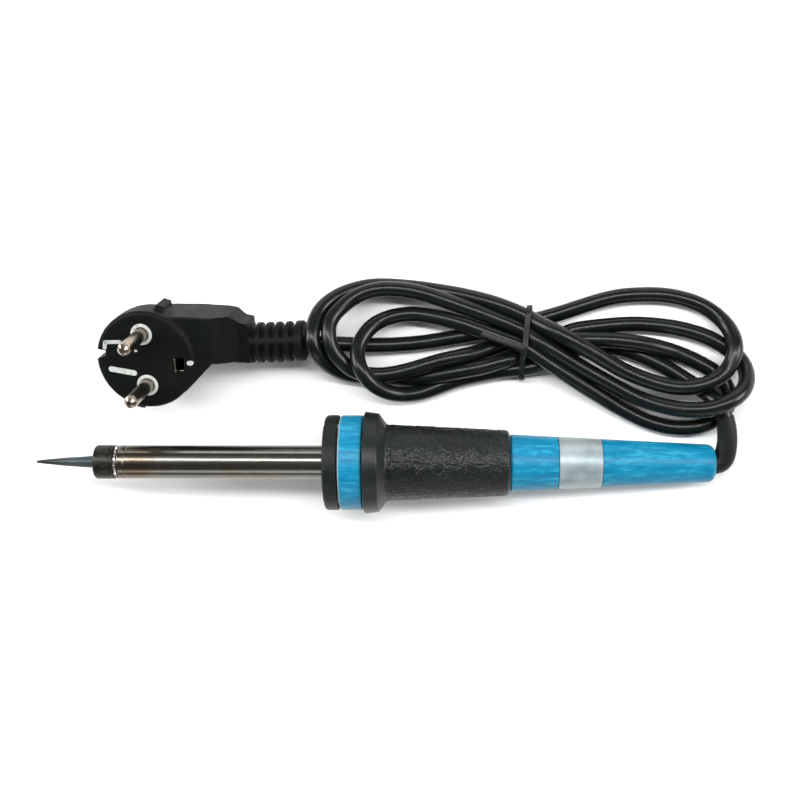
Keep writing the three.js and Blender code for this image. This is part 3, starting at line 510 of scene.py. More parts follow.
dress(tree, shader, tone=tone, rough=rough)
collar = build("retaining_collar", lathe(softened(collar_corners), closed=True), blackened, iron_frame)
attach(collar, "collar")
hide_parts("tip_collar")

# ---------------------------------------------------------------------------------------------
# Lock ring. A bright spring-steel washer with fine teeth on its rim, between the collar and the
# barrel. The teeth catch the light as a row of small bright squares.
TOOTH_COUNT = 36
ring_corners = [(washer_front, SPIGOT_RADIUS + 0.15, 0), (washer_front, washer_radius, 0.1),
                (washer_rear, washer_radius, 0.1), (washer_rear, SPIGOT_RADIUS + 0.15, 0)]
ring_mesh = lathe(softened(ring_corners, 2), sides=TOOTH_COUNT * 4, closed=True)
for vertex in ring_mesh.verts:
    out = math.hypot(vertex.co.y, vertex.co.z)
    turn = math.atan2(vertex.co.z, vertex.co.y) / (2 * math.pi) * TOOTH_COUNT
    if out > (washer_radius - 0.5) * MM and turn % 1 > 0.45:
        vertex.co.y *= 1 - 0.3 * MM / out
        vertex.co.z *= 1 - 0.3 * MM / out
bright, tree, shader, place = finish("bright_spring_steel", 0.2, metallic=1.0, base="#c8c6c0")
speck = add(tree, "TexNoise", {"Vector": place, "Scale": 900.0, "Detail": 3.0})
rough = add(tree, "MapRange", {"Value": speck.outputs["Fac"], "To Min": 0.14, "To Max": 0.32})
dress(tree, shader, rough=rough)
lock_ring = build("lock_ring", ring_mesh, bright, iron_frame)
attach(lock_ring, "spacer")
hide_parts("collar_washer")

# ---------------------------------------------------------------------------------------------
# Barrel. Drawn stainless tube, polished along its length and warmed by the heater, so it has
# fine lengthways lines and a faint straw and brown tint. A flange at its rear holds it.
barrel_front, barrel_rear, flange_radius = span("barrel")
barrel_radius = washer_radius
BARREL_WALL = 0.7
barrel_bore = barrel_radius - BARREL_WALL
cap_front, cap_rear, cap_radius = span("front_cap")
plate_rear = span("mount_plate")[1]
barrel_corners = [
    (barrel_front + 0.3, barrel_bore, 0), (barrel_front, barrel_bore + 0.2, 0.1),
    (barrel_front, barrel_radius - 0.15, 0.15), (barrel_front + 0.3, barrel_radius, 0.15),
    (barrel_front + 2.2, barrel_radius, 0.1), (barrel_front + 2.35, barrel_radius - 0.14, 0.05),
    (barrel_front + 2.7, barrel_radius - 0.14, 0.05), (barrel_front + 2.85, barrel_radius, 0.1),
    (plate_rear + 0.3, barrel_radius, 0.3), (plate_rear + 0.3, flange_radius, 0.1),
    (barrel_rear, flange_radius, 0.1), (barrel_rear, barrel_bore, 0)]
tube, tree, shader, place = finish("drawn_stainless_tube", 0.22, metallic=1.0, base="#8f8c86")
stretched = add(tree, "Mapping", {"Vector": place, "Scale": (14.0, 1600.0, 1600.0)})
drawing = add(tree, "TexNoise", {"Vector": stretched.outputs["Vector"], "Scale": 1.0, "Detail": 4.0})
cloud = add(tree, "TexNoise", {"Vector": place, "Scale": 42.0, "Detail": 4.0, "Roughness": 0.6})
tint = add(tree, "ValToRGB", {"Fac": cloud.outputs["Fac"]}, stops=[
    (0.3, colour("#62625c")), (0.5, colour("#6e6e68")), (0.7, colour("#6a5f51"))])
rough = add(tree, "MapRange", {"Value": drawing.outputs["Fac"], "To Min": 0.13, "To Max": 0.34})
bump = add(tree, "Bump", {"Height": drawing.outputs["Fac"], "Strength": 0.12, "Distance": 0.00004})
dress(tree, shader, tone=tint, rough=rough, bump=bump)
barrel = build("barrel_tube", lathe(softened(barrel_corners), closed=True), tube, iron_frame)
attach(barrel, "iron")
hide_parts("barrel")

# ---------------------------------------------------------------------------------------------
# Heat cap. Black phenolic moulding with a rounded rim and a low boss around the barrel, held to
# the handle by three screws in counterbores. It is hard, slightly glossy and finely pitted.
cap_face = cap_front + 1.0
SCREW_CIRCLE_RADIUS = 14.1
COUNTERBORE_RADIUS = 2.4
SCREW_HOLE_RADIUS = 1.5
head_seat = cap_face + 1.7
HEAD_HEIGHT = 1.2
cap_corners = [
    (cap_front, barrel_radius + 0.25, 0), (cap_front, barrel_radius + 1.0, 0.2),
    (cap_face, barrel_radius + 1.3, 0.3), (cap_face, cap_radius, 1.7), (cap_rear - 0.3, cap_radius, 0.25),
    (cap_rear, cap_radius - 0.4, 0), (cap_rear, cap_radius - 1.4, 0), (cap_face + 2.2, cap_radius - 1.4, 0.3),
    (cap_face + 2.2, barrel_radius + 0.25, 0)]
phenolic, tree, shader, place = finish("moulded_phenolic", 0.46, base="#101513", Specular_IOR_Level=0.22)
pits = add(tree, "TexNoise", {"Vector": place, "Scale": 1100.0, "Detail": 3.0})
dust = add(tree, "TexNoise", {"Vector": place, "Scale": 160.0, "Detail": 6.0, "Roughness": 0.75})
tone = add(tree, "ValToRGB", {"Fac": dust.outputs["Fac"]}, stops=[
    (0.4, colour("#0b100e")), (0.7, colour("#151c19"))])
rough = add(tree, "MapRange", {"Value": dust.outputs["Fac"], "To Min": 0.38, "To Max": 0.6})
bump = add(tree, "Bump", {"Height": pits.outputs["Fac"], "Strength": 0.25, "Distance": 0.0001})
dress(tree, shader, tone=tone, rough=rough, bump=bump)
cap = build("heat_cap", lathe(softened(cap_corners), sides=144, closed=True), phenolic, iron_frame)


def join(mesh, part, place):
    """Adds one bmesh, moved by place, to another and frees it."""
    part.transform(place)
    data = bpy.data.meshes.new("part")
    part.to_mesh(data)
    part.free()
    mesh.from_mesh(data)
    bpy.data.meshes.remove(data)


def apply_modifiers(piece):
    """Makes the mesh that a piece's modifiers give its own mesh."""
    bpy.context.view_layer.update()
    depsgraph = bpy.context.evaluated_depsgraph_get()
    shaped = bpy.data.meshes.new_from_object(piece.evaluated_get(depsgraph))
    piece.modifiers.clear()
    piece.data = shaped


def drill(piece, front, rear, radius, spots, sides=48):
    """Cuts round holes along X through a piece, at (y, z) places in its own frame, mm."""
    tool_mesh = bmesh.new()
    for y, z in spots:
        rod = lathe([(front, 0), (front, radius), (rear, radius), (rear, 0)], sides)
        join(tool_mesh, rod, Matrix.Translation(Vector((0, y, z)) * MM))
    carve(piece, tool_mesh)


def carve(piece, tool_mesh):
    """Cuts a bmesh, given in the piece's own frame, out of the piece."""
    tool = build("tool", tool_mesh, piece.data.materials[0], piece.matrix_world.copy())
    modifier = piece.modifiers.new("cut", "BOOLEAN")
    modifier.operation = "DIFFERENCE"
    modifier.solver = "EXACT"
    modifier.object = tool
    apply_modifiers(piece)
    smooth(piece.data)
    bpy.data.objects.remove(tool)


screw_spots = [(SCREW_CIRCLE_RADIUS * math.cos(math.radians(turn)),
                SCREW_CIRCLE_RADIUS * math.sin(math.radians(turn))) for turn in (-90, 30, 150)]
drill(cap, cap_front - 1, head_seat, COUNTERBORE_RADIUS, screw_spots)
drill(cap, cap_front - 1, cap_rear, SCREW_HOLE_RADIUS, screw_spots)
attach(cap, "iron")
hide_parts("front_cap")

# ---------------------------------------------------------------------------------------------
# Cap screws. Three zinc-plated cheese-head screws with a driver slot and a rolled thread; the
# plating has gone dull.
zinc, tree, shader, place = finish("dull_zinc_plate", 0.5, metallic=1.0, base="#4c4c49")
bloom = add(tree, "TexNoise", {"Vector": place, "Scale": 800.0, "Detail": 3.0})
rough = add(tree, "MapRange", {"Value": bloom.outputs["Fac"], "To Min": 0.4, "To Max": 0.62})
dress(tree, shader, rough=rough)
HEAD_SIZE = 2.25
THREAD_SIZE = 1.25
THREAD_CORE = 1.0
SCREW_PITCH = 0.7
for number, (y, z) in enumerate(screw_spots, 1):
    node = f"cap_screw_{number}"
    screw_rear = span(node)[1]
    screw_corners = [(head_seat - HEAD_HEIGHT, 0, 0), (head_seat - HEAD_HEIGHT, HEAD_SIZE, 0.35),
                     (head_seat - 0.05, HEAD_SIZE, 0.15), (head_seat - 0.05, THREAD_SIZE, 0)]
    station = head_seat + 0.6
    while station < screw_rear - 1.2:
        screw_corners += [(station, THREAD_CORE, 0.05), (station + SCREW_PITCH / 2, THREAD_SIZE, 0.05),
                          (station + SCREW_PITCH, THREAD_CORE, 0.05)]
        station += SCREW_PITCH
    screw_corners += [(screw_rear - 1.0, THREAD_CORE, 0), (screw_rear, 0, 0)]
    screw = build(f"zinc_screw_{number}", lathe(softened(screw_corners, 3), sides=40), zinc,
                  iron_frame @ Matrix.Translation(Vector((0, y, z)) * MM))
    slot_mesh = bmesh.new()
    slot_place = Matrix.Translation(((head_seat - HEAD_HEIGHT) * MM, 0, 0))
    slot_turn = Matrix.Rotation(math.radians(25 * number), 4, "X")
    slot_size = Matrix.Diagonal((1.3 * MM, 6 * MM, 0.75 * MM, 1))
    bmesh.ops.create_cube(slot_mesh, size=1, matrix=slot_place @ slot_turn @ slot_size)
    carve(screw, slot_mesh)
    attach(screw, "iron")
    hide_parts(node)

# ---------------------------------------------------------------------------------------------
# Handle. One blue polypropylene moulding: a flat ring at the front, a waist under the grip and a
# long taper with a rounded rear end. The melt's flow left faint lighter and darker streaks.
handle_front, handle_rear, head_radius = span("handle_body")
sleeve_front, sleeve_rear, sleeve_flange = span("grip_sleeve")
label_front, label_rear, label_radius = span("rating_label")
HANDLE_FRONT_RADIUS = 12.6
HANDLE_REAR_RADIUS = 6.6
END_ROUNDING = 2.5
head_rear = sleeve_front - 0.3
taper_rear = handle_rear - END_ROUNDING


def taper(station):
    """Radius of the handle's straight taper at a station."""
    share = (station - head_rear) / (taper_rear - head_rear)
    return HANDLE_FRONT_RADIUS + (HANDLE_REAR_RADIUS - HANDLE_FRONT_RADIUS) * share


WAIST = 0.8
WALL = 2.2
HEAD_BORE = 11.7
LABEL_SEAT = 0.4
handle_corners = [
    (handle_front, head_radius - 5, 0), (handle_front, head_radius - 0.5, 0.3),
    (handle_front + 0.5, head_radius, 0.3), (head_rear - 0.4, head_radius, 0.3),
    (head_rear, head_radius - 0.4, 0.2), (head_rear, taper(head_rear) - WAIST, 0.3),
    (sleeve_rear + 0.3, taper(sleeve_rear) - WAIST, 0), (sleeve_rear + 0.3, taper(sleeve_rear) - 0.3, 0.1),
    (sleeve_rear + 0.6, taper(sleeve_rear), 0.15), (label_front - 0.3, taper(label_front), 0.05),
    (label_front - 0.3, taper(label_front) - LABEL_SEAT, 0.05),
    (label_rear + 0.3, taper(label_rear) - LABEL_SEAT, 0.05), (label_rear + 0.3, taper(label_rear), 0.05),
    (taper_rear, HANDLE_REAR_RADIUS, 1), (handle_rear, HANDLE_REAR_RADIUS - 0.5, 2.2),
    (handle_rear, BOOT_FRONT_RADIUS + 0.2, 0.2), (handle_rear - 3.2, BOOT_FRONT_RADIUS + 0.2, 0),
    (handle_rear - 3.4, taper(handle_rear) - WALL, 0), (sleeve_rear, taper(sleeve_rear) - WALL - WAIST, 0),
    (head_rear, taper(head_rear) - 2.8, 0), (head_rear - 2, HEAD_BORE, 0),
    (handle_front, HEAD_BORE, 0)]
blue, tree, shader, place = finish("moulded_blue_polypropylene", 0.4, base="#0a7899", Specular_IOR_Level=0.25)
flow = add(tree, "Mapping", {"Vector": place, "Scale": (150.0, 620.0, 620.0)})
streak = add(tree, "TexNoise", {"Vector": flow.outputs["Vector"], "Scale": 1.0, "Detail": 5.0,
                                "Roughness": 0.6, "Distortion": 0.5})
streaked = add(tree, "ValToRGB", {"Fac": streak.outputs["Fac"]}, stops=[
    (0.36, colour("#03698b")), (0.52, colour("#06769a")), (0.68, colour("#2b90ad"))])
rough = add(tree, "MapRange", {"Value": streak.outputs["Fac"], "To Min": 0.32, "To Max": 0.48})
skin = add(tree, "TexNoise", {"Vector": place, "Scale": 700.0, "Detail": 2.0})
bump = add(tree, "Bump", {"Height": skin.outputs["Fac"], "Strength": 0.12, "Distance": 0.0001})
# The ring's front edge gets a narrow pale band painted on: a painted highlight where the edge catches the light.
station = add(tree, "SeparateXYZ", {"Vector": place}).outputs["X"]
painted_edge_highlight = add(tree, "MapRange", {"Value": station, "From Min": (handle_front + 0.35) * MM,
                                "From Max": (handle_front + 0.6) * MM, "To Min": 0.75, "To Max": 0.0})
tone = add(tree, "Mix", {"Factor": painted_edge_highlight.outputs["Result"], "A": streaked.outputs["Color"],
                         "B": colour("#9fb0b2")}, data_type="RGBA")
tree.links.new(tone.outputs["Result"], shader.inputs["Base Color"])
dress(tree, shader, rough=rough, bump=bump)
handle = build("handle_shell", lathe(softened(handle_corners), sides=144, closed=True), blue, iron_frame)
drill(handle, handle_front - 1, handle_front + 9, SCREW_HOLE_RADIUS, screw_spots)
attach(handle, "iron")
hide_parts("handle_body")

# ---------------------------------------------------------------------------------------------
# Grip. A soft thermoplastic-rubber sleeve moulded over the waist, with a wide finger flange. The
# tool's leather grain covers its straight part: flat pebbles about 1 mm across, fine creases.
SLEEVE_FRONT_RADIUS = 13.4
SLEEVE_REAR_RADIUS = 11.5
flange_rear = sleeve_front + 5.1
cone_end = flange_rear + 2.8
grip_corners = [
    (sleeve_front, taper(sleeve_front) - WAIST + 0.1, 0), (sleeve_front, sleeve_flange - 0.4, 0.3),
    (sleeve_front + 0.4, sleeve_flange, 0.2), (flange_rear, sleeve_flange - 0.6, 0.3),
    (cone_end, SLEEVE_FRONT_RADIUS, 0.9)]
GRAIN_STEP = 0.3
grain_stations = int((sleeve_rear - cone_end - 2.0) / GRAIN_STEP)
for i in range(1, grain_stations):
    share = i / grain_stations
    grip_corners.append((cone_end + 1.0 + i * GRAIN_STEP, SLEEVE_FRONT_RADIUS + (
        SLEEVE_REAR_RADIUS - SLEEVE_FRONT_RADIUS) * share, 0))
grip_corners += [(sleeve_rear - 0.9, SLEEVE_REAR_RADIUS, 0.3), (sleeve_rear, SLEEVE_REAR_RADIUS - 0.8, 0.5),
                 (sleeve_rear, taper(sleeve_rear) - WAIST + 0.1, 0)]
grip_mesh = lathe(softened(grip_corners), sides=288, closed=True)
GRAIN_SIZE = 1.0
GRAIN_DEPTH = 0.22
for vertex in grip_mesh.verts:
    out = math.hypot(vertex.co.y, vertex.co.z)
    station = vertex.co.x / MM
    if out / MM < SLEEVE_REAR_RADIUS - 0.5 or station < flange_rear:
        continue
    depth = min(1, (station - flange_rear) / 3, max(0, sleeve_rear - 0.6 - station) / 1.5)
    spot = vertex.co / MM / GRAIN_SIZE
    near, next_near = noise.voronoi(spot)[0][:2]
    pebble = min(1, (next_near - near) * 3.0) - 0.6
    swell = noise.noise(spot * 0.45) * 0.6
    shift = depth * GRAIN_DEPTH * (pebble + swell) * MM
    vertex.co.y *= 1 + shift / out
    vertex.co.z *= 1 + shift / out
rubber, tree, shader, place = finish("grained_grip_rubber", 0.4, base="#0d1311", Specular_IOR_Level=0.3)
fine = add(tree, "TexNoise", {"Vector": place, "Scale": 1500.0, "Detail": 3.0})
cells = add(tree, "TexVoronoi", {"Vector": place, "Scale": 1100.0}, feature="DISTANCE_TO_EDGE")
worn = add(tree, "TexNoise", {"Vector": place, "Scale": 70.0, "Detail": 5.0, "Roughness": 0.7})
tone = add(tree, "ValToRGB", {"Fac": worn.outputs["Fac"]}, stops=[
    (0.35, colour("#0b100e")), (0.7, colour("#151b18"))])
rough = add(tree, "MapRange", {"Value": worn.outputs["Fac"], "To Min": 0.28, "To Max": 0.46})
crease = add(tree, "Bump", {"Height": cells.outputs["Distance"], "Strength": 0.35, "Distance": 0.0002})
bump = add(tree, "Bump", {"Height": fine.outputs["Fac"], "Normal": crease.outputs["Normal"],
                          "Strength": 0.25, "Distance": 0.0001})
dress(tree, shader, tone=tone, rough=rough, bump=bump)
grip = build("grip_sleeve_rubber", grip_mesh, rubber, iron_frame)
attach(grip, "iron")
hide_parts("grip_sleeve")

# ---------------------------------------------------------------------------------------------
# Label. Metallised polyester film around the handle, left plain, with its overlap as a narrow
# step near the rear edge. It is a satin silver that darkens where it turns away.
label_skin = taper(label_front) - label_radius
label_seam = label_front + (label_rear - label_front) * 0.69
label_corners = [(label_front, label_radius - 0.3, 0), (label_front, label_radius, 0.04)]
for station, step in ((label_seam - 0.3, 0), (label_seam, 0.05), (label_seam + 0.5, 0.05),
                      (label_seam + 0.8, 0)):
    label_corners.append((station, taper(station) - label_skin - step, 0.05))
label_corners += [(label_rear, taper(label_rear) - label_skin, 0.04),
                  (label_rear, taper(label_rear) - label_skin - 0.3, 0)]
film, tree, shader, place = finish("metallised_label_film", 0.42, metallic=0.45, base="#a3afb3")
ripple = add(tree, "TexNoise", {"Vector": place, "Scale": 110.0, "Detail": 3.0})
tone = add(tree, "ValToRGB", {"Fac": ripple.outputs["Fac"]}, stops=[
    (0.35, colour("#7d8b90")), (0.65, colour("#a2acaf"))])
rough = add(tree, "MapRange", {"Value": ripple.outputs["Fac"], "To Min": 0.36, "To Max": 0.48})
bump = add(tree, "Bump", {"Height": ripple.outputs["Fac"], "Strength": 0.25, "Distance": 0.0003})
dress(tree, shader, tone=tone, rough=rough, bump=bump)
label = build("label_band", lathe(softened(label_corners, 3), sides=144, closed=True), film, iron_frame)
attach(label, "iron")
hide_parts("rating_label")

# ---------------------------------------------------------------------------------------------
# Plug. Angled two-pin earthed plug, overmoulded in black PVC straight onto the lead: a round head,
# a shouldered neck that is cut away on one side, and a relief whose ribs are split by a spine.
plug_face = next(mount for mount in frame["record"]["mounts"] if mount["name"] == "plug_face")
pin_boxes = [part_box("plug_pin_1"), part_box("plug_pin_2")]
facing = Vector(plug_face["axis"]).normalized()
sideways = Vector((1, 0, 0))
plug_frame = Matrix((sideways, facing.cross(sideways), facing)).transposed().to_4x4()
plug_frame.translation = Vector(((pin_boxes[0][0].x + pin_boxes[0][1].x) / 2,
                                 plug_face["pos_m"][1], plug_face["pos_m"][2]))
pin_centres = [plug_frame.inverted() @ ((low + high) / 2) for low, high in pin_boxes]
standing = Matrix.Rotation(-math.pi / 2, 4, "Y")

HEAD_RADIUS = 18.0
HEAD_DEPTH = 22.5
RELIEF_AXIS = (1.8, -15.0)
RELIEF_RADIUS = 7.4
RELIEF_START = 30.0
RELIEF_END = 55.4
RIB_PITCH = 3.5
RIB_COUNT = 4
SPINE_WIDTH = 2.4
PLUG_ROLL = 20
FACE_EDGE = -1.2
WELD_SIZE = 0.36
NECK_START = 25
NECK_END = 36.6
NECK_SLOPE = 0.95
NECK_LOWEST = -8.2
DROOP_START = 36
DROOP = 0.0055


def prism(mesh, outline, low, high):
    """Adds an upright prism with the given (x, y) outline in mm to a bmesh."""
    floor = [mesh.verts.new((x * MM, y * MM, low * MM)) for x, y in outline]
    roof = [mesh.verts.new((x * MM, y * MM, high * MM)) for x, y in outline]
    mesh.faces.new(floor[::-1])
    mesh.faces.new(roof)
    for i in range(len(outline)):
        mesh.faces.new((floor[i - 1], floor[i], roof[i], roof[i - 1]))


def add_turned(mesh, corners, place, sides=96):
    """Adds a turned piece, with its axis along place's X, to a bmesh."""
    join(mesh, lathe(softened(corners, 4), sides), place)


plug_mesh = bmesh.new()
add_turned(plug_mesh, [(-HEAD_DEPTH, 0, 0), (-HEAD_DEPTH, 7, 2), (-HEAD_DEPTH + 2.6, 12.8, 3),
                       (-HEAD_DEPTH + 7, 16.6, 3), (-HEAD_DEPTH + 12, HEAD_RADIUS, 3),
                       (-0.9, HEAD_RADIUS, 0.4), (0, HEAD_RADIUS - 0.9, 0.4), (0, 0, 0)], standing)
prism(plug_mesh, [(0, -16.8), (7.6, -16.4), (14.0, -11.9), (24.3, -1.9), (36.2, -4.0), (36.2, 10.6),
                  (33.2, 11.3), (30.4, 14.0), (27.0, 14.6), (16.0, 15.4), (0, 15.6)],
      -20.4, FACE_EDGE)
relief_place = Matrix.Translation(Vector((0, *RELIEF_AXIS)) * MM)
relief_corners = [(RELIEF_START, 0, 0), (RELIEF_START, RELIEF_RADIUS, 0.5)]
rib_start = RELIEF_END - 3.2 - RIB_COUNT * RIB_PITCH
for i in range(RIB_COUNT + 1):
    groove = rib_start + i * RIB_PITCH - 1.6
    relief_corners += [(groove, RELIEF_RADIUS, 0.2), (groove + 0.2, RELIEF_RADIUS - 1.7, 0.2),
                       (groove + 1.5, RELIEF_RADIUS - 1.7, 0.2), (groove + 1.7, RELIEF_RADIUS, 0.2)]
relief_corners += [(RELIEF_END - 0.6, RELIEF_RADIUS, 0.3), (RELIEF_END, RELIEF_RADIUS - 0.8, 0.3),
                   (RELIEF_END, 0, 0)]
add_turned(plug_mesh, relief_corners, relief_place)
for turn in (0, 180):
    spine = bmesh.new()
    prism(spine, [(RELIEF_START, -SPINE_WIDTH / 2), (RELIEF_END - 1, -SPINE_WIDTH / 2),
                  (RELIEF_END - 1, SPINE_WIDTH / 2), (RELIEF_START, SPINE_WIDTH / 2)],
          3, RELIEF_RADIUS - 0.25)
    join(plug_mesh, spine, relief_place @ Matrix.Rotation(math.radians(turn - PLUG_ROLL), 4, "X"))
# Finger ridges on both edges of the head.
for turn, reach, low, high in ((72, 19.6, -15, -5), (-103, 18.9, -13, -1.2)):
    ridge = bmesh.new()
    prism(ridge, [(14, -2.6), (reach, -1.5), (reach, 1.5), (14, 2.6)], low, high)
    join(plug_mesh, ridge, Matrix.Rotation(math.radians(turn), 4, "Z"))
bmesh.ops.recalc_face_normals(plug_mesh, faces=plug_mesh.faces)

# Semi-matt PVC: near black, with a fine moulded grain and patches of dust.
plug_pvc, tree, shader, place = finish("overmoulded_plug_pvc", 0.5, base="#080c0a", Specular_IOR_Level=0.1)
grain = add(tree, "TexNoise", {"Vector": place, "Scale": 1300.0, "Detail": 3.0})
dust = add(tree, "TexNoise", {"Vector": place, "Scale": 150.0, "Detail": 6.0, "Roughness": 0.75})
tone = add(tree, "ValToRGB", {"Fac": dust.outputs["Fac"]}, stops=[
    (0.38, colour("#070b09")), (0.62, colour("#0c100e")), (0.78, colour("#1a1915"))])
rough = add(tree, "MapRange", {"Value": dust.outputs["Fac"], "To Min": 0.42, "To Max": 0.64})
bump = add(tree, "Bump", {"Height": grain.outputs["Fac"], "Strength": 0.22, "Distance": 0.0001})
dress(tree, shader, tone=tone, rough=rough, bump=bump)
plug = build("plug_shell", plug_mesh, plug_pvc, plug_frame)
weld = plug.modifiers.new("weld", "REMESH")
weld.mode = "VOXEL"
weld.voxel_size = WELD_SIZE * MM
soften = plug.modifiers.new("soften", "SMOOTH")
soften.factor = 0.5
soften.iterations = 5
apply_modifiers(plug)
for vertex in plug.data.vertices:
    x, y, z = vertex.co / MM
    if x > NECK_START:
        roof = max(FACE_EDGE - (x - NECK_START) * NECK_SLOPE, NECK_LOWEST)
        if x < NECK_END and z > roof:
            z = roof
        z -= DROOP * max(0, x - DROOP_START) ** 2
        vertex.co.z = z * MM

# Openings: the slot for the earth spring at the head's left edge and the earth pin's square hole.
def rectangle(x, y, width, depth):
    """Corners of a rectangle around (x, y)."""
    return [(x - width / 2, y - depth / 2), (x + width / 2, y - depth / 2),
            (x + width / 2, y + depth / 2), (x - width / 2, y + depth / 2)]


pocket_x, pocket_y, pocket_w, pocket_h = 12.6, -2.0, 4.2, 5.8
openings = bmesh.new()
prism(openings, [(-14.1, 2.0), (-20, -0.4), (-20, 4.8), (-14.1, 3.9)][::-1], -HEAD_DEPTH - 2, 2)
prism(openings, rectangle(pocket_x, pocket_y, pocket_w, pocket_h), -14, 2)
bmesh.ops.recalc_face_normals(openings, faces=openings.faces)
carve(plug, openings)
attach(plug, "iron")
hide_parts("plug_body")

# ---------------------------------------------------------------------------------------------
# Pins. Nickel-plated brass, turned with a domed end; the plating is bright with a warm tinge and
# has fine wear lines from sockets.
nickel, tree, shader, place = finish("nickel_plated_brass", 0.22, metallic=1.0, base="#a39a8c")
stretched = add(tree, "Mapping", {"Vector": place, "Scale": (900.0, 900.0, 60.0)})
wear = add(tree, "TexNoise", {"Vector": stretched.outputs["Vector"], "Scale": 1.0, "Detail": 4.0})
tone = add(tree, "ValToRGB", {"Fac": wear.outputs["Fac"]}, stops=[
    (0.35, colour("#8c8377")), (0.6, colour("#a89f92")), (0.75, colour("#a07f5c"))])
rough = add(tree, "MapRange", {"Value": wear.outputs["Fac"], "To Min": 0.14, "To Max": 0.34})
dress(tree, shader, tone=tone, rough=rough)
PIN_RADIUS = 2.4
PIN_LENGTH = 19.0
PIN_ROOT = 9.0
for number, centre in enumerate(pin_centres, 1):
    pin_mesh = lathe(softened([(-PIN_ROOT, 0, 0), (-PIN_ROOT, PIN_RADIUS, 0.3), (0.6, PIN_RADIUS, 0.1),
                               (0.75, PIN_RADIUS - 0.12, 0.05), (1.2, PIN_RADIUS - 0.12, 0.05),
                               (1.35, PIN_RADIUS, 0.1), (PIN_LENGTH - 0.9, PIN_RADIUS, 1.8),
                               (PIN_LENGTH, PIN_RADIUS - 1.1, 0.9), (PIN_LENGTH, 0, 0)]), sides=64)
    pin_mesh.transform(Matrix.Translation((centre.x, centre.y, 0)) @ standing)
    pin = build(f"mains_pin_{number}", pin_mesh, nickel, plug_frame)
    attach(pin, "iron")
    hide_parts(f"plug_pin_{number}")

# ---------------------------------------------------------------------------------------------
# Bridge. Pale grey glass-filled nylon that holds the pins while the plug is moulded over it. It
# shows at the face as a ring round each pin, an angle, a bar and a small tab by the earth hole.
nylon, tree, shader, place = finish("glass_filled_nylon", 0.55, base="#b7bab5", IOR=1.53)
fibre = add(tree, "TexNoise", {"Vector": place, "Scale": 600.0, "Detail": 4.0})
tone = add(tree, "ValToRGB", {"Fac": fibre.outputs["Fac"]}, stops=[
    (0.35, colour("#a5a8a4")), (0.65, colour("#c3c6c2"))])
bump = add(tree, "Bump", {"Height": fibre.outputs["Fac"], "Strength": 0.2, "Distance": 0.0001})
dress(tree, shader, tone=tone, bump=bump)
INLAY_TOP = 0.22
INLAY_FLOOR = -3.0


def stroke(mesh, start, end, width):
    """Adds an upright rib with rounded ends from start to end to a bmesh."""
    run = Vector(end) - Vector(start)
    heading = math.atan2(run.y, run.x)
    outline = []
    for centre, first in ((end, -90), (start, 90)):
        for k in range(9):
            turn = heading + math.radians(first + 22.5 * k)
            outline.append((centre[0] + width / 2 * math.cos(turn), centre[1] + width / 2 * math.sin(turn)))
    prism(mesh, outline, INLAY_FLOOR, INLAY_TOP)


inlay = bmesh.new()
for centre in pin_centres:
    ring = lathe(softened([(INLAY_FLOOR, 2.5, 0), (INLAY_FLOOR, 3.9, 0), (INLAY_TOP + 0.15, 3.9, 0.2),
                           (INLAY_TOP + 0.15, 2.75, 0.2), (INLAY_TOP - 0.4, 2.5, 0.1)], 3), 64, closed=True)
    join(inlay, ring, Matrix.Translation((centre.x, centre.y, 0)) @ standing)
# The short stroke at (-2.9, 3.6) is a pale dot put where the face shows a glint: a painted highlight.
for start, end, width in (((-14.2, 4.9), (-13.8, 6.9), 1.4), ((-13.7, 6.9), (-8.4, 7.0), 1.4),
                          ((-12.8, -3.1), (-4.4, -4.7), 2.0), ((-2.9, 3.6), (-2.7, 3.6), 0.9),
                          ((16.3, -1.1), (17.0, -1.1), 1.7)):
    stroke(inlay, start, end, width)
bmesh.ops.recalc_face_normals(inlay, faces=inlay.faces)
bridge = build("pin_bridge_inlay", inlay, nylon, plug_frame)
rounding = bridge.modifiers.new("edges", "BEVEL")
rounding.width = 0.15 * MM
rounding.segments = 2
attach(bridge, "iron")
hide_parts("plug_bridge")

# ---------------------------------------------------------------------------------------------
# Earth contacts. Pressed nickel-plated strip: a folded sleeve lines the earth pin's hole, and a
# sprung strip lies against the inner wall of the slot at the head's left edge.
sleeve_mesh = bmesh.new()
SLEEVE_INSET = 0.35
SLEEVE_FLOOR = -13.6
for offset_x, offset_y, size_x, size_y, top in (
        (-pocket_w / 2 + SLEEVE_INSET, 0, 0.7, pocket_h - 0.4, -0.1),
        (pocket_w / 2 - SLEEVE_INSET, 0, 0.5, pocket_h - 0.8, -1.2),
        (0, pocket_h / 2 - SLEEVE_INSET, pocket_w - 0.6, 0.5, -1.6),
        (0, -pocket_h / 2 + SLEEVE_INSET, pocket_w - 0.6, 0.5, -1.6)):
    prism(sleeve_mesh, rectangle(pocket_x + offset_x, pocket_y + offset_y, size_x, size_y),
          SLEEVE_FLOOR, top)
socket_sleeve = build("earth_sleeve", sleeve_mesh, nickel, plug_frame)
spring_mesh = bmesh.new()
prism(spring_mesh, [(-14.6, 2.2), (-14.1, 2.2), (-14.1, 3.7), (-14.6, 3.7)], -15, -3)
spring = build("earth_spring_left", spring_mesh, nickel, plug_frame)
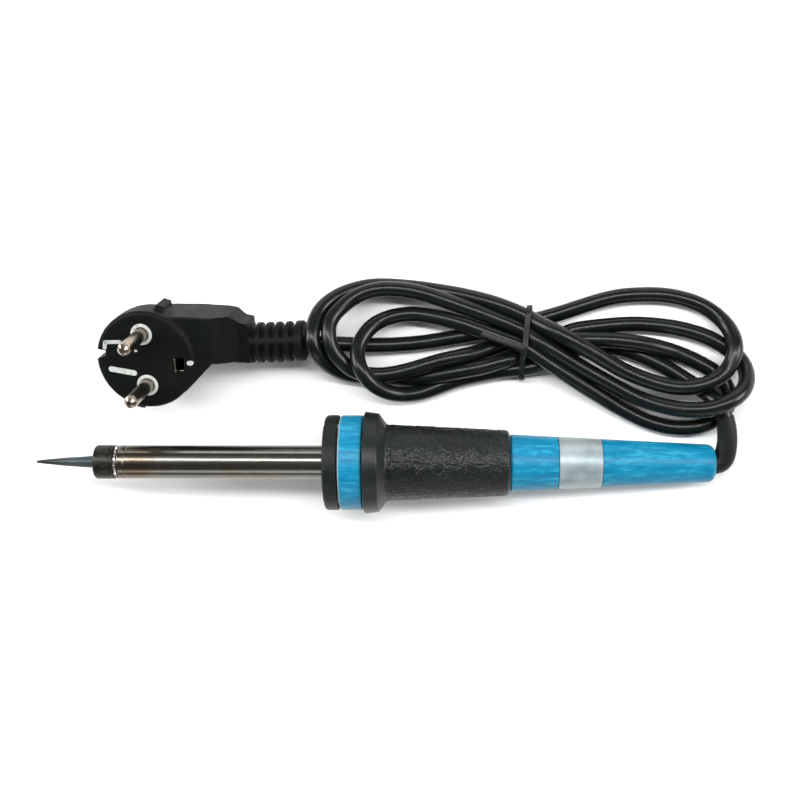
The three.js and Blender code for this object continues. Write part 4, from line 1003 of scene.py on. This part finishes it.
for part, node in ((socket_sleeve, "earth_socket"), (spring, "earth_clip_left")):
    edges = part.modifiers.new("edges", "BEVEL")
    edges.width = 0.12 * MM
    edges.segments = 2
    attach(part, "iron")
    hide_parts(node)
cover(nickel, "earth_clip_right")

# ---------------------------------------------------------------------------------------------
# Inside the iron. The heater and its wiring keep their shapes; each gets the finish of the real
# material, so a view through the barrel's or the handle's openings still looks right.
def grained(name, shades, roughness, scale_mm, strength, metallic=0.0):
    """A finish of two shades in a grain of the given size, mm, with a light bump."""
    material, tree, shader, place = finish(name, roughness, metallic=metallic, base=shades[0])
    grain = add(tree, "TexNoise", {"Vector": place, "Scale": 1 / (scale_mm * MM), "Detail": 4.0})
    tone = add(tree, "ValToRGB", {"Fac": grain.outputs["Fac"]},
               stops=[(0.35, colour(shades[0])), (0.65, colour(shades[1]))])
    bump = add(tree, "Bump", {"Height": grain.outputs["Fac"], "Strength": strength, "Distance": 0.0001})
    dress(tree, shader, tone=tone, bump=bump)
    return material


cover(grained("pressed_mild_steel", ("#7d7f7e", "#939594"), 0.36, 1.5, 0.2, 1.0),
      "mount_plate", "heater_core", "cord_ferrule")
cover(grained("mica_laminate", ("#a98c58", "#c7ac78"), 0.42, 2.5, 0.3), "mica_sleeve", "heat_gasket")
cover(grained("oxidised_nichrome", ("#4a4540", "#6c6259"), 0.4, 0.6, 0.2, 0.9),
      "heater_winding", "heater_tail_live", "heater_tail_neutral")
cover(grained("steatite_ceramic", ("#e2dccd", "#efeadd"), 0.5, 0.8, 0.15), "ceramic_bush")
cover(grained("stamped_brass", ("#a5853a", "#bd9a4a"), 0.32, 0.9, 0.15, 1.0),
      "crimp_live", "crimp_neutral", "earth_tag")
cover(grained("brown_core_pvc", ("#5c3920", "#6f4729"), 0.45, 1.2, 0.1), "core_live")
cover(grained("blue_core_pvc", ("#27589e", "#3168b4"), 0.45, 1.2, 0.1), "core_neutral")
cover(grained("green_yellow_core_pvc", ("#4f8a2c", "#c9c23a"), 0.45, 4.0, 0.1), "core_earth")
